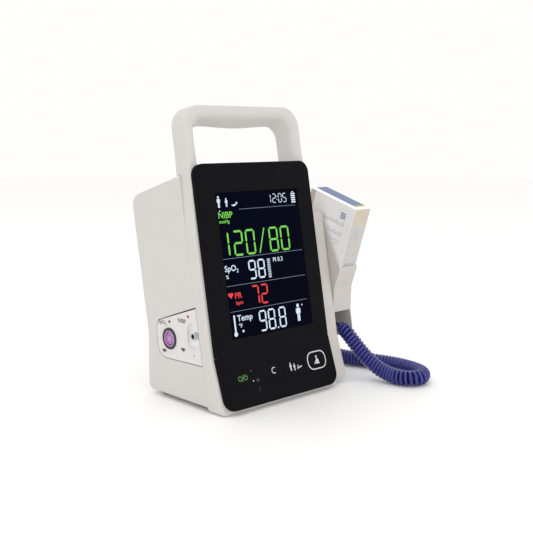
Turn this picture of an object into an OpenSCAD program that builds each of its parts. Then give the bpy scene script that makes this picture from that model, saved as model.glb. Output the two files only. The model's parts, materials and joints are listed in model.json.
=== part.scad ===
// Table-top patient monitor with a carrying handle, a side panel of patient connectors
// and a temperature module that holds a probe, its curly cord and a carton of probe covers.
// X runs to the right, Y to the back and Z up; the object stands on Z = 0.

/* [Housing] */
// Width of the main housing
housing_w = 140; // [136:1:146]
// Lean of the screen, the handle and the rear wall behind the vertical, in degrees
screen_lean = 10.2; // [9.5:0.1:11]
// Lean of the keypad strip behind the vertical, in degrees
keypad_lean = 18.6; // [17.5:0.1:19.5]
// Height of the crease between the screen and the keypad above the table
crease_h = 47.8; // [47:0.1:49]
// Depth of the white face behind the front of the black block
face_d = 5.5; // [5:0.1:6]
// Depth of the parting line between the front and the rear housing
seam_d = 17; // [16.5:0.1:17.5]
// Depth of the back of the handle
handle_back_d = 24; // [23:0.5:25]
// Depth of the rear wall
rear_d = 90; // [88:0.5:92]
// Wall thickness of the mouldings
wall = 2.4; // [2:0.1:2.6]
// Height of the feet below the base
base_h = 4; // [3.5:0.1:4.5]

/* [Screen and keypad] */
// Width of the black block
block_w = 133.4; // [132:0.1:134]
// Length of the black block above the crease
screen_len = 161; // [160:0.5:162]
// Length of the black block below the crease
keypad_len = 45.5; // [45:0.5:46]
// Width of the lit part of the display
display_w = 96.2; // [94:0.1:98]
// Height of the lit part of the display
display_h = 123.2; // [120:0.1:124]
// Distance from the crease to the lit part
display_low = 12.7; // [12:0.1:14]
// How far a key travels
key_travel = 0.8; // [0.5:0.1:1]
// Gap around a key cap
key_gap = 0.25; // [0.2:0.05:0.3]

/* [Handle] */
// Length of the handle loop above the crease
handle_len = 211; // [209:0.5:213]
// Half width of the loop
handle_half = 67; // [66:0.5:68]
// Thickness of the loop at its front edge
handle_front_t = 9.5; // [9:0.5:11]
// Thickness of the loop at its back edge
handle_back_t = 16; // [14:0.5:17]

/* [Connector panel] */
// Thickness of the panel
panel_t = 2; // [1.8:0.1:2.2]
// Outer radius of the ring of the SpO2 connector
spo2_ring_r = 9.6; // [9:0.1:10]
// Bore radius of the hose fitting
hose_bore_r = 2; // [1.8:0.1:2.2]

/* [Temperature module] */
// Thickness of the inner case, from the housing to the pocket
inner_case_w = 15.5; // [15:0.5:16]
// Thickness of the outer case with the pocket
outer_case_w = 26; // [25.5:0.5:26.5]
// Forward tilt of the carton, in degrees
carton_tilt = 17.6; // [17:0.1:18]
// Size of the carton: thickness, depth and height
carton_size = [21.4, 58, 92]; // [20:0.1:100]
// Clearance around the carton in its pocket
carton_gap = 0.4; // [0.3:0.05:0.5]
// Depth of the probe's axis behind the front of the black block
probe_d = 74.5; // [74:0.5:75]
// Radius of the probe's handle
probe_r = 9; // [8.5:0.1:9.2]
// Outer diameter of the coiled cord
coil_od = 14.6; // [14:0.1:15]

/* [Hidden] */
$fn = 48;

// The middle of the object's box, seen from above, in the frame used below, whose X is measured
// from the middle of the screen and whose Y is measured from the crease
middle = [20.25, 52.8];
half_w = housing_w / 2;
side_w = housing_w / 2 + inner_case_w;
outer_w = side_w + outer_case_w;
slack = 0.15;
over = 1;

// ---- Places on the leaning planes, as [y, z] ----

// A point v along a slope above the crease and d behind it
function on_slope(lean, v, d) =
    [d * cos(lean) + v * sin(lean), crease_h + v * cos(lean) - d * sin(lean)];
function on_screen(v, d) = on_slope(screen_lean, v, d);
function on_keypad(v, d) = on_slope(keypad_lean, v, d);

// The y at height z of the plane that lies d behind a slope
function slope_y(lean, d, z) = (d + (z - crease_h) * sin(lean)) / cos(lean);

// Where the planes at depth d behind the screen and behind the keypad meet
function crease_point(d) =
    let (mean = (screen_lean + keypad_lean) / 2, h = d / cos((keypad_lean - screen_lean) / 2))
    [h * cos(mean), crease_h - h * sin(mean)];

// ---- Outlines: each corner is [a, b, radius] ----

function unit(v) = v / norm(v);

function fillet(before, corner, after, r, steps) =
    r == 0 ? [corner] :
    let (a = unit(before - corner), b = unit(after - corner), half = acos(a * b) / 2,
         middle = corner + unit(a + b) * r / sin(half),
         from = corner + a * r / tan(half) - middle, to = corner + b * r / tan(half) - middle,
         turn = 180 - 2 * half)
    [for (k = [0:steps])
        middle + (from * sin((1 - k / steps) * turn) + to * sin(k / steps * turn)) / sin(turn)];

function rounded(corners, steps = 6) =
    let (n = len(corners), flat = [for (c = corners) [c[0], c[1]]])
    [for (i = [0:n - 1])
        each fillet(flat[(i + n - 1) % n], flat[i], flat[(i + 1) % n], corners[i][2], steps)];

function corner(p, r = 0) = [p[0], p[1], r];

// The right half of an outline, completed with its mirror image
function mirrored(half) =
    concat(half, [for (i = [len(half) - 1:-1:0]) [-half[i][0], half[i][1], half[i][2]]]);

function rectangle(a0, a1, b0, b1, r = 0) =
    [[a0, b0, r], [a1, b0, r], [a1, b1, r], [a0, b1, r]];

module outline(corners) polygon(rounded(corners));

// ---- Slabs and blocks ----

module placed() translate([-middle.x, -middle.y, 0]) children();

// Axes x, depth behind the lens and height along the screen
module screen_axes() placed() translate([0, 0, crease_h]) rotate([-screen_lean, 0, 0]) children();

// A sketch in x and height along the screen, thickened from depth d0 to d1
module screen_slab(d0, d1)
    screen_axes() translate([0, d1, 0]) rotate([90, 0, 0]) linear_extrude(d1 - d0) children();

// The same on the keypad's slope
module keypad_slab(d0, d1)
    placed() translate([0, 0, crease_h]) rotate([-keypad_lean, 0, 0])
        translate([0, d1, 0]) rotate([90, 0, 0]) linear_extrude(d1 - d0) children();

// A sketch in y and z, thickened from x0 to x1
module side_slab(x0, x1)
    placed() translate([x0, 0, 0]) rotate([90, 0, 90]) linear_extrude(x1 - x0) children();

// A sketch in x and y, thickened from z0 to z1
module floor_slab(z0, z1)
    placed() translate([0, 0, z0]) linear_extrude(z1 - z0) children();

module block(low, high) translate(low) cube(high - low);

module at_each(places) for (p = places) translate(p) children();

// ---- Main housing ----

front_corners = mirrored([
    [half_w, -49, 5], [half_w, 110, 80], [handle_half, 172, 80], [handle_half, handle_len, 18],
]);
housing_top_v = 160.5;
floor_gap = 0.6;
front_wall_d = face_d + 2.2;
skin = [
    corner(on_screen(housing_top_v, face_d)), corner(on_screen(housing_top_v, seam_d)),
    corner([slope_y(screen_lean, seam_d, floor_gap), floor_gap]), [-11.5, floor_gap, 2],
    corner(on_keypad(-keypad_len - 0.2, 2.5)), corner(on_keypad(-keypad_len - 0.2, face_d)),
    corner(crease_point(face_d)),
];
cavity = [
    corner(on_screen(housing_top_v - wall, front_wall_d)),
    corner(on_screen(housing_top_v - wall, seam_d + over)),
    corner([slope_y(screen_lean, seam_d + over, floor_gap + wall), floor_gap + wall]),
    corner([slope_y(keypad_lean, front_wall_d, floor_gap + wall), floor_gap + wall]),
    corner(crease_point(front_wall_d)),
];
case_screw_places = [for (x = [-60, 60], v = [60, 138]) [x, v]];
case_screw_r = 1.5;

// The finger opening of the handle at depth d: it narrows towards the back
function opening_at(d) =
    let (grown = (handle_back_t - handle_front_t) * (d - face_d) / (handle_back_d - face_d),
         half = handle_half - handle_front_t - grown)
    mirrored([[half, housing_top_v, 3], [half, handle_len - handle_front_t - grown, 12]]);

module handle_opening(d0, d1) hull() {
    screen_slab(d0, d0 + 0.01) outline(opening_at(d0));
    screen_slab(d1, d1 + 0.01) outline(opening_at(d1));
}

// The channel inside the loop, open towards the seam
channel_wall = 1.8;

module handle_channel(d0, d1) screen_slab(d0, d1) difference() {
    outline(mirrored([
        [handle_half - wall, housing_top_v - 20, 0],
        [handle_half - wall, handle_len - wall, 15],
    ]));
    outline(mirrored([
        [opening_at(d0)[0][0] + channel_wall, housing_top_v - 21, 0],
        [opening_at(d0)[0][0] + channel_wall, opening_at(d0)[1][1] + channel_wall, 10],
    ]));
}

module front_housing() color("#e4e1dc") difference() {
    union() {
        difference() {
            intersection() {
                side_slab(-half_w, half_w) outline(skin);
                screen_slab(-20, 40) outline(front_corners);
            }
            side_slab(wall - half_w, half_w - wall) outline(cavity);
        }
        screen_slab(face_d, seam_d) intersection() {
            outline(front_corners);
            outline(rectangle(-half_w, half_w, housing_top_v - 0.01, handle_len));
        }
        screen_slab(front_wall_d - 0.1, seam_d) at_each(case_screw_places) circle(4.5);
    }
    handle_opening(face_d - over, handle_back_d);
    handle_channel(front_wall_d, seam_d + over);
    screen_slab(face_d - over, front_wall_d + over) outline(rectangle(-54.6, 54.6, 6.6, 141.4, 3));
    keypad_slab(face_d - over, front_wall_d + over) outline(rectangle(-60, 60, -38, -4, 3));
    screen_slab(front_wall_d, seam_d + over) at_each(case_screw_places) circle(case_screw_r);
}

cover_low_v = 154.1; // just above the top of the rear housing

module handle_back_cover() color("#dedbd5") difference() {
    screen_slab(seam_d, handle_back_d) difference() {
        outline(front_corners);
        outline(rectangle(-half_w - over, half_w + over, -60, cover_low_v));
    }
    handle_opening(face_d, handle_back_d + over);
    intersection() {
        handle_channel(seam_d - over, handle_back_d - wall);
        screen_slab(0, handle_back_d)
            outline(rectangle(-half_w, half_w, cover_low_v + wall, handle_len));
    }
}

rear_foot_y = 93;
rear_bend_z = 56.4;
rear_low_v = 145.8;
rear_top_v = 154;
rear_corners = [
    corner([slope_y(screen_lean, seam_d, base_h), base_h]), [rear_foot_y, base_h, 6],
    [rear_foot_y, rear_bend_z, 20], corner(on_screen(rear_low_v, rear_d), 12),
    corner(on_screen(rear_top_v, seam_d)),
];
rear_inner_corners = [
    corner([slope_y(screen_lean, seam_d - over, base_h + wall), base_h + wall]),
    [rear_foot_y - wall, base_h + wall, 4], [rear_foot_y - wall, rear_bend_z, 18],
    corner(on_screen(rear_low_v - wall, rear_d - wall), 10),
    corner(on_screen(rear_top_v - wall, seam_d - over)),
];

// The connector panel's outline, whose straight front edge lies at depth d
panel_top = [79.8, 67.9, 0.341];
panel_low = [76.5, 36.6, 0.033];
function panel_outline(d) =
    let (top_y = slope_y(screen_lean, d, 87), low_y = slope_y(screen_lean, d, 38.5))
    [corner(panel_top, 9), [top_y, panel_top[1] + panel_top[2] * (panel_top[0] - top_y), 0],
     [low_y, panel_low[1] + panel_low[2] * (panel_low[0] - low_y), 0], corner(panel_low, 12)];
panel_front_d = seam_d + 0.3;

battery_half = 35.5;
battery_z = [9, 30];
inlet_place = [36, 43];
ports_place = [-33, 43];
spo2_place = [60.4, 55.1];
hose_place = [28.8, 61.9];
hose_cup = [15, 22];
speaker_place = [-30, 108];
screw_head_d = 37;

module speaker_slots() for (i = [-3:3])
    translate([speaker_place.x, speaker_place.y + i * 4]) square([27 - abs(i) * 3, 1.8], center = true);

module vent_slots() for (i = [0:6]) translate([28, 92 + i * 6]) square([40, 2.4], center = true);

module rear_housing() color("#dcd8d2") difference() {
    union() {
        difference() {
            side_slab(-half_w, half_w) outline(rear_corners);
            side_slab(wall - half_w, half_w - wall) outline(rear_inner_corners);
        }
        screen_slab(seam_d, rear_d - 1) at_each(case_screw_places) circle(5);
    }
    screen_slab(seam_d - over, screw_head_d + over) at_each(case_screw_places) circle(1.8);
    screen_slab(screw_head_d, rear_d + 3) at_each(case_screw_places) circle(3.7);
    side_slab(-half_w - over, 0.5 - half_w + wall)
        offset(delta = slack) outline(panel_outline(seam_d - over));
    floor_slab(base_h - over, base_h + wall + over) outline(rectangle(-62.2, 62.2, 20.8, 85.2, 4));
    placed() block([-37, rear_foot_y - 6, 7], [37, rear_foot_y + over, 31.2]);
    placed() translate([inlet_place.x, rear_foot_y, inlet_place.y]) cube([28.4, 8, 20.4], center = true);
    placed() translate([ports_place.x, rear_foot_y, ports_place.y]) cube([44.4, 8, 15.4], center = true);
    screen_slab(rear_d - 6, rear_d + 3) {
        speaker_slots();
        vent_slots();
    }
}

insert_places = [for (x = [-48, 48], y = [30, 70]) [x, y]];
foot_places = [for (x = [-57, 57], y = [28, 79]) [x, y]];
insert_r = 3.5;
insert_top = 12;
thread_r = 1.65;

module base_plate() color("#c9c5bf") difference() {
    union() {
        floor_slab(base_h, base_h + wall) outline(rectangle(-62, 62, 21, 85, 4));
        floor_slab(base_h + wall, base_h + wall + 1.6) outline(rectangle(-65, 65, 19.2, 86, 4));
        floor_slab(base_h, insert_top) at_each(insert_places) circle(6);
    }
    floor_slab(base_h - over, insert_top + over) at_each(insert_places) circle(insert_r);
    floor_slab(base_h - over, base_h + 2.2) at_each(foot_places) circle(2.6);
    for (i = [-3:3])
        floor_slab(base_h - over, base_h + 6) translate([i * 8, 52]) square([3, 26], center = true);
}

module mounting_inserts() color("goldenrod") floor_slab(base_h + 0.4, insert_top)
    at_each(insert_places) difference() {
        circle(insert_r);
        circle(thread_r);
    }

module rubber_feet() color("#8f8c89") {
    floor_slab(0, base_h) at_each(foot_places) circle(6.5);
    floor_slab(base_h - 0.01, base_h + 2) at_each(foot_places) circle(2.45);
}

// ---- Black block: bezel, window and keypad ----

block_half = block_w / 2;
display_half = display_w / 2;
display_corners = rectangle(-display_half, display_half, display_low, display_low + display_h, 0.6);
seal_corners = [mirrored([[63.5, 3, 4], [63.5, 157, 6]]), mirrored([[61.5, 5, 4], [61.5, 155, 6]])];
seal_d = face_d - 0.8;

module screen_bezel() color("#151517") difference() {
    screen_slab(0, face_d) outline(mirrored([[block_half, 0.5, 0.4], [block_half, screen_len, 10]]));
    screen_slab(-over, face_d + over) outline(display_corners);
    screen_slab(seal_d, face_d + over) difference() {
        outline(seal_corners[0]);
        outline(seal_corners[1]);
    }
}

module bezel_gasket() color("#3c3c40") screen_slab(seal_d, face_d) difference() {
    outline(seal_corners[0]);
    outline(seal_corners[1]);
}

module display_window() color("#0a1030")
    screen_slab(0.3, 1.9) offset(delta = -0.1) outline(display_corners);

key_v = -21;
start_key_v = -20.5;
key_flange = 1.2;
flange_d = [2.6, 3.8];
cap_back_d = 4.7;
function key_shape(x, v, w, h, r) = rectangle(x - w / 2, x + w / 2, v - h / 2, v + h / 2, r);
power_shape = key_shape(-44.5, key_v, 20, 15, 6);
night_shape = key_shape(-9, key_v, 20, 15, 6);
patient_shape = key_shape(17.4, key_v, 20, 15, 6);
start_shape = key_shape(44.3, start_key_v, 24.4, 17.4, 7.4);
key_shapes = [power_shape, night_shape, patient_shape, start_shape];

module keypad_panel() color("#151517") difference() {
    keypad_slab(0, face_d) outline(mirrored([[block_half, -keypad_len, 11], [block_half, -0.5, 0.4]]));
    keypad_slab(-over, face_d + over) for (s = key_shapes) offset(delta = key_gap) outline(s);
    keypad_slab(flange_d[0] - 0.4, face_d + over) for (s = key_shapes)
        offset(delta = key_gap + key_flange) outline(s);
}

module key_cap(shape) color("#1b1b1e") {
    keypad_slab(0.15, cap_back_d) outline(shape);
    keypad_slab(flange_d[0], flange_d[1]) offset(delta = key_flange) outline(shape);
}

module power_key() key_cap(power_shape);
module night_key() key_cap(night_shape);
module patient_key() key_cap(patient_shape);
module start_stop_key() key_cap(start_shape);

module key_mat() color("#5a5d63") difference() {
    keypad_slab(face_d + 0.1, front_wall_d) outline(rectangle(-59.6, 59.6, -37.6, -4.4, 3));
    keypad_slab(face_d + 0.9, front_wall_d + over) for (s = key_shapes) offset(delta = -4) outline(s);
}

module key_board() color("#1f5f3a") {
    keypad_slab(front_wall_d + 0.1, front_wall_d + 1.5) outline(rectangle(-58, 58, -36, -6, 1));
    keypad_slab(front_wall_d + 1.4, front_wall_d + 3) outline(rectangle(-6, 6, -28, -20));
}

// ---- Screen, boards and supply, parallel to the screen ----

lcd_corners = rectangle(-54, 54, 7.2, 140.8, 1);
lcd_d = [5.7, 8, 12, 13.1];
board_d = [18, 19.6];
spacer_places = [for (x = [-47, 47], v = [14, 132]) [x, v]];
spacer_bore_r = 1.2;

module lcd_panel() color("#2a3140") screen_slab(lcd_d[0], lcd_d[1]) outline(lcd_corners);

module lcd_backlight() color("#d9dde2") screen_slab(lcd_d[1], lcd_d[2]) outline(lcd_corners);

module lcd_frame() color("silver") screen_slab(lcd_d[2], lcd_d[3]) difference() {
    outline(rectangle(-54, 54, 3, 145, 2));
    for (x = [-24, 24], v = [42, 104]) translate([x, v]) square([34, 40], center = true);
}

module board_spacers() color("gold") screen_slab(lcd_d[3], board_d[0]) at_each(spacer_places) difference() {
    circle(3, $fn = 6);
    circle(spacer_bore_r);
}

module main_board() color("#1d6b3c") difference() {
    union() {
        screen_slab(board_d[0], board_d[1]) outline(rectangle(-52, 52, -12, 138, 1));
        screen_slab(board_d[1] - 0.01, board_d[1] + 2) {
            translate([0, 70]) square(28, center = true);
            translate([32, 100]) square(16, center = true);
            translate([-30, 104]) square([22, 12], center = true);
        }
        screen_slab(board_d[1] - 0.01, board_d[1] + 7) {
            translate([-34, 0]) square([26, 8], center = true);
            translate([34, 0]) square([26, 8], center = true);
        }
    }
    screen_slab(board_d[0] - over, board_d[1] + over) at_each(spacer_places) circle(spacer_bore_r + 0.15);
}

module board_screws() color("silver") {
    screen_slab(board_d[0] - 4, board_d[1] + 0.01) at_each(spacer_places) circle(spacer_bore_r);
    screen_slab(board_d[1], board_d[1] + 1.8) at_each(spacer_places) circle(2.5);
}

chassis_d = [38, 39.2];

module chassis_plate() color("#b9bcc0") screen_slab(chassis_d[0], chassis_d[1]) difference() {
    outline(rectangle(-54.8, 54.8, -4, 132, 2));
    outline(rectangle(-60, -38, -10, 48, 0));
    for (x = [-16, 16]) translate([x, 84]) square([20, 8], center = true);
}

module power_supply() color("#246b8a") screen_axes() {
    block([-6, 43, 12], [50, 44.6, 70]);
    for (x = [-2, 46], v = [16, 66])
        translate([x, chassis_d[1], v]) rotate([-90, 0, 0]) cylinder(r = 2, h = 43.01 - chassis_d[1]);
    block([0, 44.59, 40], [24, 62, 64]);
    block([30, 44.59, 44], [46, 56, 62]);
    for (x = [4, 18, 32]) translate([x, 44.59, 26]) rotate([-90, 0, 0]) cylinder(r = 5, h = 14);
}

module mains_inlet() color("#202022") placed() translate([inlet_place.x, rear_foot_y, inlet_place.y]) {
    difference() {
        union() {
            translate([0, -10, 0]) cube([27.8, 24, 19.8], center = true);
            translate([0, 1, 0]) cube([32, 2, 24], center = true);
        }
        translate([0, -5, 0]) cube([24, 20, 16], center = true);
    }
    for (x = [-7, 0, 7]) translate([x - 1, -15.5, x == 0 ? 1 : -3.5]) cube([2, 12, 4.5]);
}

module data_ports() color("#aeb2b8") placed() translate([ports_place.x, rear_foot_y, ports_place.y]) {
    translate([-12, -7, 0]) difference() {
        cube([16, 15, 13.6], center = true);
        translate([0, 3, -0.5]) cube([12, 13, 8.5], center = true);
    }
    translate([11, -7, 0]) difference() {
        cube([14, 15, 7], center = true);
        translate([0, 3, 0]) cube([12.4, 13, 5.2], center = true);
    }
    difference() {
        translate([0, -0.9, 0]) cube([44, 1.4, 15], center = true);
        translate([-12, 0, 0]) cube([16, 5, 13.6], center = true);
        translate([11, 0, 0]) cube([14, 5, 7], center = true);
    }
}

module battery_pack() color("#38506a") placed() {
    block([-battery_half, 44, battery_z[0]], [battery_half, rear_foot_y - 2.3, battery_z[1]]);
    block([-36.7, rear_foot_y - 2.4, 7.3], [36.7, rear_foot_y, 30.9]);
    block([-14, rear_foot_y - 0.1, 13], [14, rear_foot_y + 2, 17]);
}

module battery_contacts() color("#26282b") placed() {
    block([-20, 39.4, 10], [20, 43.4, 28]);
    for (x = [-12, -4, 4, 12]) block([x - 1, 43.3, 15], [x + 1, 43.8, 24]);
}

// ---- Patient connectors and their boards ----

cup_floor_x = 4.8;

module hose_cup_outline(extra) translate(hose_place)
    outline(rectangle(-hose_cup.x / 2 - extra, hose_cup.x / 2 + extra,
        -hose_cup.y / 2 - extra, hose_cup.y / 2 + extra, hose_cup.x / 2 + extra - 0.1));

module connector_panel() color("#efedea") difference() {
    union() {
        side_slab(-half_w, panel_t - half_w) outline(panel_outline(panel_front_d));
        side_slab(panel_t - half_w - 0.01, cup_floor_x + 1.2 - half_w) hose_cup_outline(1.1);
        side_slab(panel_t + 0.6 - half_w, panel_t + 1.8 - half_w) outline([
            [77, 71, 9], [22, 90, 0], [20, 90, 0], [18, 36, 2], [73, 34, 12],
        ]);
        side_slab(panel_t - half_w - 0.01, panel_t + 1 - half_w) offset(delta = -2)
            outline(panel_outline(panel_front_d));
    }
    side_slab(-half_w - over, cup_floor_x - half_w) hose_cup_outline(0);
    side_slab(-half_w - over, 10 - half_w) translate(hose_place) circle(3.3);
    side_slab(-half_w - over, 10 - half_w) translate(spo2_place) circle(7.4);
}

module spo2_ring() color("#1a1a1c") side_slab(-half_w - 1, -half_w) translate(spo2_place) difference() {
    circle(spo2_ring_r);
    circle(7.4);
}

module spo2_insert() color("#b070c0") difference() {
    union() {
        side_slab(-half_w - 0.8, 10 - half_w) translate(spo2_place) circle(7.25);
        side_slab(4 - half_w, 5.5 - half_w) translate(spo2_place) circle(9);
    }
    side_slab(-half_w - over, 6.5 - half_w) translate(spo2_place) circle(5.9);
}

module spo2_pins() color("gold") for (i = [0:7]) side_slab(1 - half_w, 14 - half_w)
    translate(spo2_place + 3.7 * [cos(i * 45), sin(i * 45)]) circle(0.5, $fn = 16);

module hose_fitting() color("#9a9ea3") difference() {
    union() {
        side_slab(-half_w, 13 - half_w) translate(hose_place) circle(3.2);
        side_slab(cup_floor_x + 1.2 - half_w, cup_floor_x + 2.6 - half_w) translate(hose_place) circle(5);
    }
    side_slab(-half_w - over, 14 - half_w) translate(hose_place) circle(hose_bore_r);
}

module spo2_board() color("#1d6b3c") {
    side_slab(14.1 - half_w, 15.7 - half_w) outline(rectangle(50, 82, 38, 84, 1));
    side_slab(15.6 - half_w, 18 - half_w) translate([68, 62]) square(14, center = true);
}

// ---- Blood pressure pump ----

pump_place = [54, 104];
rotor_shaft_r = 2;
rotor_bore_r = 2.05;

module along_pump(x0, x1) screen_axes() translate([x0, pump_place.x, pump_place.y])
    rotate([0, 90, 0]) linear_extrude(x1 - x0) children();

module pump_body() color("#8c9096") difference() {
    union() {
        along_pump(0, 34) circle(13);
        along_pump(33.9, 50) square(25, center = true);
        screen_axes() block([4, chassis_d[1], 96], [30, 44, 112]);
        screen_axes() translate([42, 54, 87]) cylinder(r = 1.8, h = 5);
    }
    along_pump(2, 30) circle(10);
    along_pump(-over, 36) circle(rotor_bore_r);
    along_pump(36, 47) circle(8);
}

module pump_rotor() color("#c08040") {
    along_pump(-5, 37) circle(rotor_shaft_r);
    along_pump(5, 27) circle(9);
    along_pump(36.5, 44) translate([1.2, 0]) circle(4);
}

module valve_block() color("#d6d2c4") screen_axes() {
    block([-46, chassis_d[1], 92], [-12, 58, 116]);
    for (x = [-38, -20]) translate([x, 57.9, 104]) rotate([-90, 0, 0]) cylinder(r = 6, h = 13);
    for (x = [-40, -20]) translate([x, 50, 87]) cylinder(r = 1.8, h = 5.1);
}

// A tube swept along points, with a radius at each one
function sweep_frame(points, i) =
    let (n = len(points), t = unit(points[min(i + 1, n - 1)] - points[max(i - 1, 0)]),
         side = unit(cross(t, abs(t.z) > 0.9 ? [1, 0, 0] : [0, 0, 1])))
    [side, cross(side, t)];

function smooth(points) = let (n = len(points))
    concat([points[0]],
        [for (i = [0:n - 2]) let (a = points[i], b = points[i + 1])
            each [a * 0.75 + b * 0.25, a * 0.25 + b * 0.75]],
        [points[n - 1]]);

module tube(points, radii, sides) {
    n = len(points);
    rings = [for (i = [0:n - 1], k = [0:sides - 1])
        let (f = sweep_frame(points, i), a = 360 * k / sides)
        points[i] + radii[i] * (f[0] * cos(a) + f[1] * sin(a))];
    faces = concat(
        [[for (k = [0:sides - 1]) k]],
        [[for (k = [sides - 1:-1:0]) (n - 1) * sides + k]],
        [for (i = [0:n - 2], k = [0:sides - 1])
            let (low = i * sides, high = low + sides, next = (k + 1) % sides)
            [low + k, high + k, high + next, low + next]]
    );
    polyhedron(rings, faces);
}

// Air tubes in the axes x, depth and height along the screen
pump_tube = [
    [42, 54, 87], [42, 54, 82], [38, 54, 78], [28, 53.5, 76], [10, 52, 75], [-8, 50.5, 76],
    [-17, 50, 78], [-20, 50, 82], [-20, 50, 87],
];
hose_tube = [
    [-40, 50, 87], [-40, 50, 80], [-42, 49, 64], [-45, 46, 48], [-48, 38, 32], [-50, 30, 22],
    [-52, 25.85, 18.95], [-56.4, 25.85, 18.95],
];

module air_tubes() color("#b8c4cc") screen_axes()
    for (route = [pump_tube, hose_tube]) tube(smooth(route), [for (p = smooth(route)) 2.5], 8);

module speaker() color("#2e2e30") screen_slab(77, rear_d - wall - 0.2) translate(speaker_place) circle(16);

module case_screws() color("silver") {
    screen_slab(11, screw_head_d + 0.01) at_each(case_screw_places) circle(case_screw_r);
    screen_slab(screw_head_d, screw_head_d + 3) at_each(case_screw_places) difference() {
        circle(3.2);
        circle(1.4, $fn = 6);
    }
}

// ---- Temperature module ----

module_rear_d = 86;
module_rear_y = 89;
module_top_v = 105;
module_wall = 2;
inner_case_corners = [
    corner(on_screen(113.5, face_d + 0.5)), corner(on_screen(module_top_v, module_rear_d), 10),
    [module_rear_y, rear_bend_z, 20], [module_rear_y, base_h, 8],
    [slope_y(keypad_lean, face_d + 0.5, base_h), base_h, 3], corner(crease_point(face_d + 0.5)),
];
inner_cavity_corners = [
    corner(on_screen(111.5, face_d + 2.5)), corner(on_screen(module_top_v - 2, module_rear_d - 2), 8),
    [module_rear_y - 2, rear_bend_z, 18], [module_rear_y - 2, 24, 4],
    [slope_y(keypad_lean, face_d + 2.5, 24), 24, 2], corner(crease_point(face_d + 2.5)),
];
module_screw_places = [[48, 44], [72.4, 128], [34, 71]];
module_screw_x = outer_w - 3;

module inner_case() difference() {
    intersection() {
        side_slab(half_w, side_w) outline(inner_case_corners);
        screen_slab(-20, 110) outline([[60, -60, 0], [60, 130, 0], [side_w, 130, 0],
            [side_w, -46, 14], [half_w, -46, 0], [half_w, -60, 0]]);
    }
    side_slab(half_w + module_wall, side_w + over) outline(inner_cavity_corners);
}

module module_inner_case() color("#e2dfda") {
    inner_case();
    side_slab(half_w + 1.9, side_w) for (p = module_screw_places) translate(p) difference() {
        circle(3.6);
        circle(1.3);
    }
}

module module_board() color("#1d6b3c") {
    side_slab(half_w + 6, half_w + 7.6) outline(rectangle(44, 80, 56, 112, 1));
    side_slab(half_w + 7.5, half_w + 10) translate([62, 84]) square([16, 20], center = true);
}

// The carton's axes: x, back from its front face, and up from its top
carton_front_top = [-12.1, 162];
carton_x = side_w + module_wall + 0.5;
carton_wall = 0.7;

module carton_axes()
    placed() translate([carton_x, carton_front_top.x, carton_front_top.y])
        rotate([carton_tilt, 0, 0]) children();

module carton_space(gap, above)
    carton_axes() block([-gap, -gap, -carton_size.z - gap],
        [carton_size.x + gap, carton_size.y + gap, above]);

lip = [4, 105];
notch_back_y = 40;
notch_top_z = 63.5;
outer_low_z = 35.5;
outer_case_corners = [
    [7, outer_low_z, 1], [11.5, notch_top_z, 0], [10.5, 87, 8], corner(lip, 0.6), [25, 151, 1],
    corner(on_screen(module_top_v, module_rear_d), 10), [module_rear_y, rear_bend_z, 20],
    [module_rear_y, outer_low_z, 10],
];
probe_x = side_w + outer_case_w / 2;
well_r = 6.5;
well_bore_r = 4;
well_v = [5, 78];
seat_v = 76;
probe_play = 0.35;
handle_low_v = 78.2;
handle_top_v = 146;

module probe_axes() screen_axes() translate([probe_x, probe_d, 0]) children();

module module_outer_case() color("#e6e3de") difference() {
    side_slab(side_w, outer_w) outline(outer_case_corners);
    carton_space(carton_gap, 60);
    side_slab(side_w + module_wall, outer_w - module_wall)
        outline(rectangle(0, notch_back_y, outer_low_z - over, notch_top_z));
    probe_axes() translate([0, 0, well_v[0]]) cylinder(r = well_r + 0.1, h = 120);
    probe_axes() translate([0, 0, seat_v]) cylinder(r = probe_r + probe_play, h = 60);
    side_slab(side_w - over, outer_w + over) for (p = module_screw_places) translate(p) circle(1.6);
    side_slab(module_screw_x, outer_w + over) for (p = module_screw_places) translate(p) circle(3.1);
    side_slab(side_w - over, outer_w - module_wall)
        outline(rectangle(54, 66, outer_low_z + module_wall, notch_top_z + 8, 2));
}

module module_screws() color("silver") {
    side_slab(half_w + 8, module_screw_x + 0.01) for (p = module_screw_places) translate(p) circle(1.3);
    side_slab(module_screw_x, outer_w - 0.6) for (p = module_screw_places) translate(p) difference() {
        circle(2.8);
        circle(1.2, $fn = 6);
    }
}

module probe_well() color("#f2f2f0") probe_axes() difference() {
    union() {
        translate([0, 0, well_v[0]]) cylinder(r = well_r, h = well_v[1] - well_v[0]);
        translate([0, 0, seat_v]) cylinder(r = probe_r + 0.2, h = well_v[1] - seat_v);
    }
    translate([0, 0, well_v[0] + 3]) cylinder(r = well_bore_r, h = 80);
}

boot_v = 137;
boot_len = 14;
button_r = 5;
button_depth = 6;
button_travel = 3;

module probe_handle() color("#3346b0") probe_axes() difference() {
    union() {
        translate([0, 0, handle_low_v]) cylinder(r = probe_r, h = handle_top_v - handle_low_v - 2);
        translate([0, 0, handle_top_v - 2.01]) cylinder(r1 = probe_r, r2 = probe_r - 2, h = 2.01);
    }
    translate([0, 0, handle_low_v - over]) cylinder(r = 2.6, h = 21);
    translate([0, 0, handle_top_v - button_depth - button_travel - 0.3])
        cylinder(r = button_r + 0.3, h = 20);
}

module probe_shaft() color("silver") probe_axes() {
    translate([0, 0, 14]) cylinder(r = 2.6, h = handle_low_v + 20 - 14);
    translate([0, 0, 14]) sphere(r = 2.6);
}

module probe_eject_button() color("#d8dbe4") probe_axes()
    translate([0, 0, handle_top_v - button_depth])
        cylinder(r = button_r, h = button_depth + button_travel + 0.5);

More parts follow.
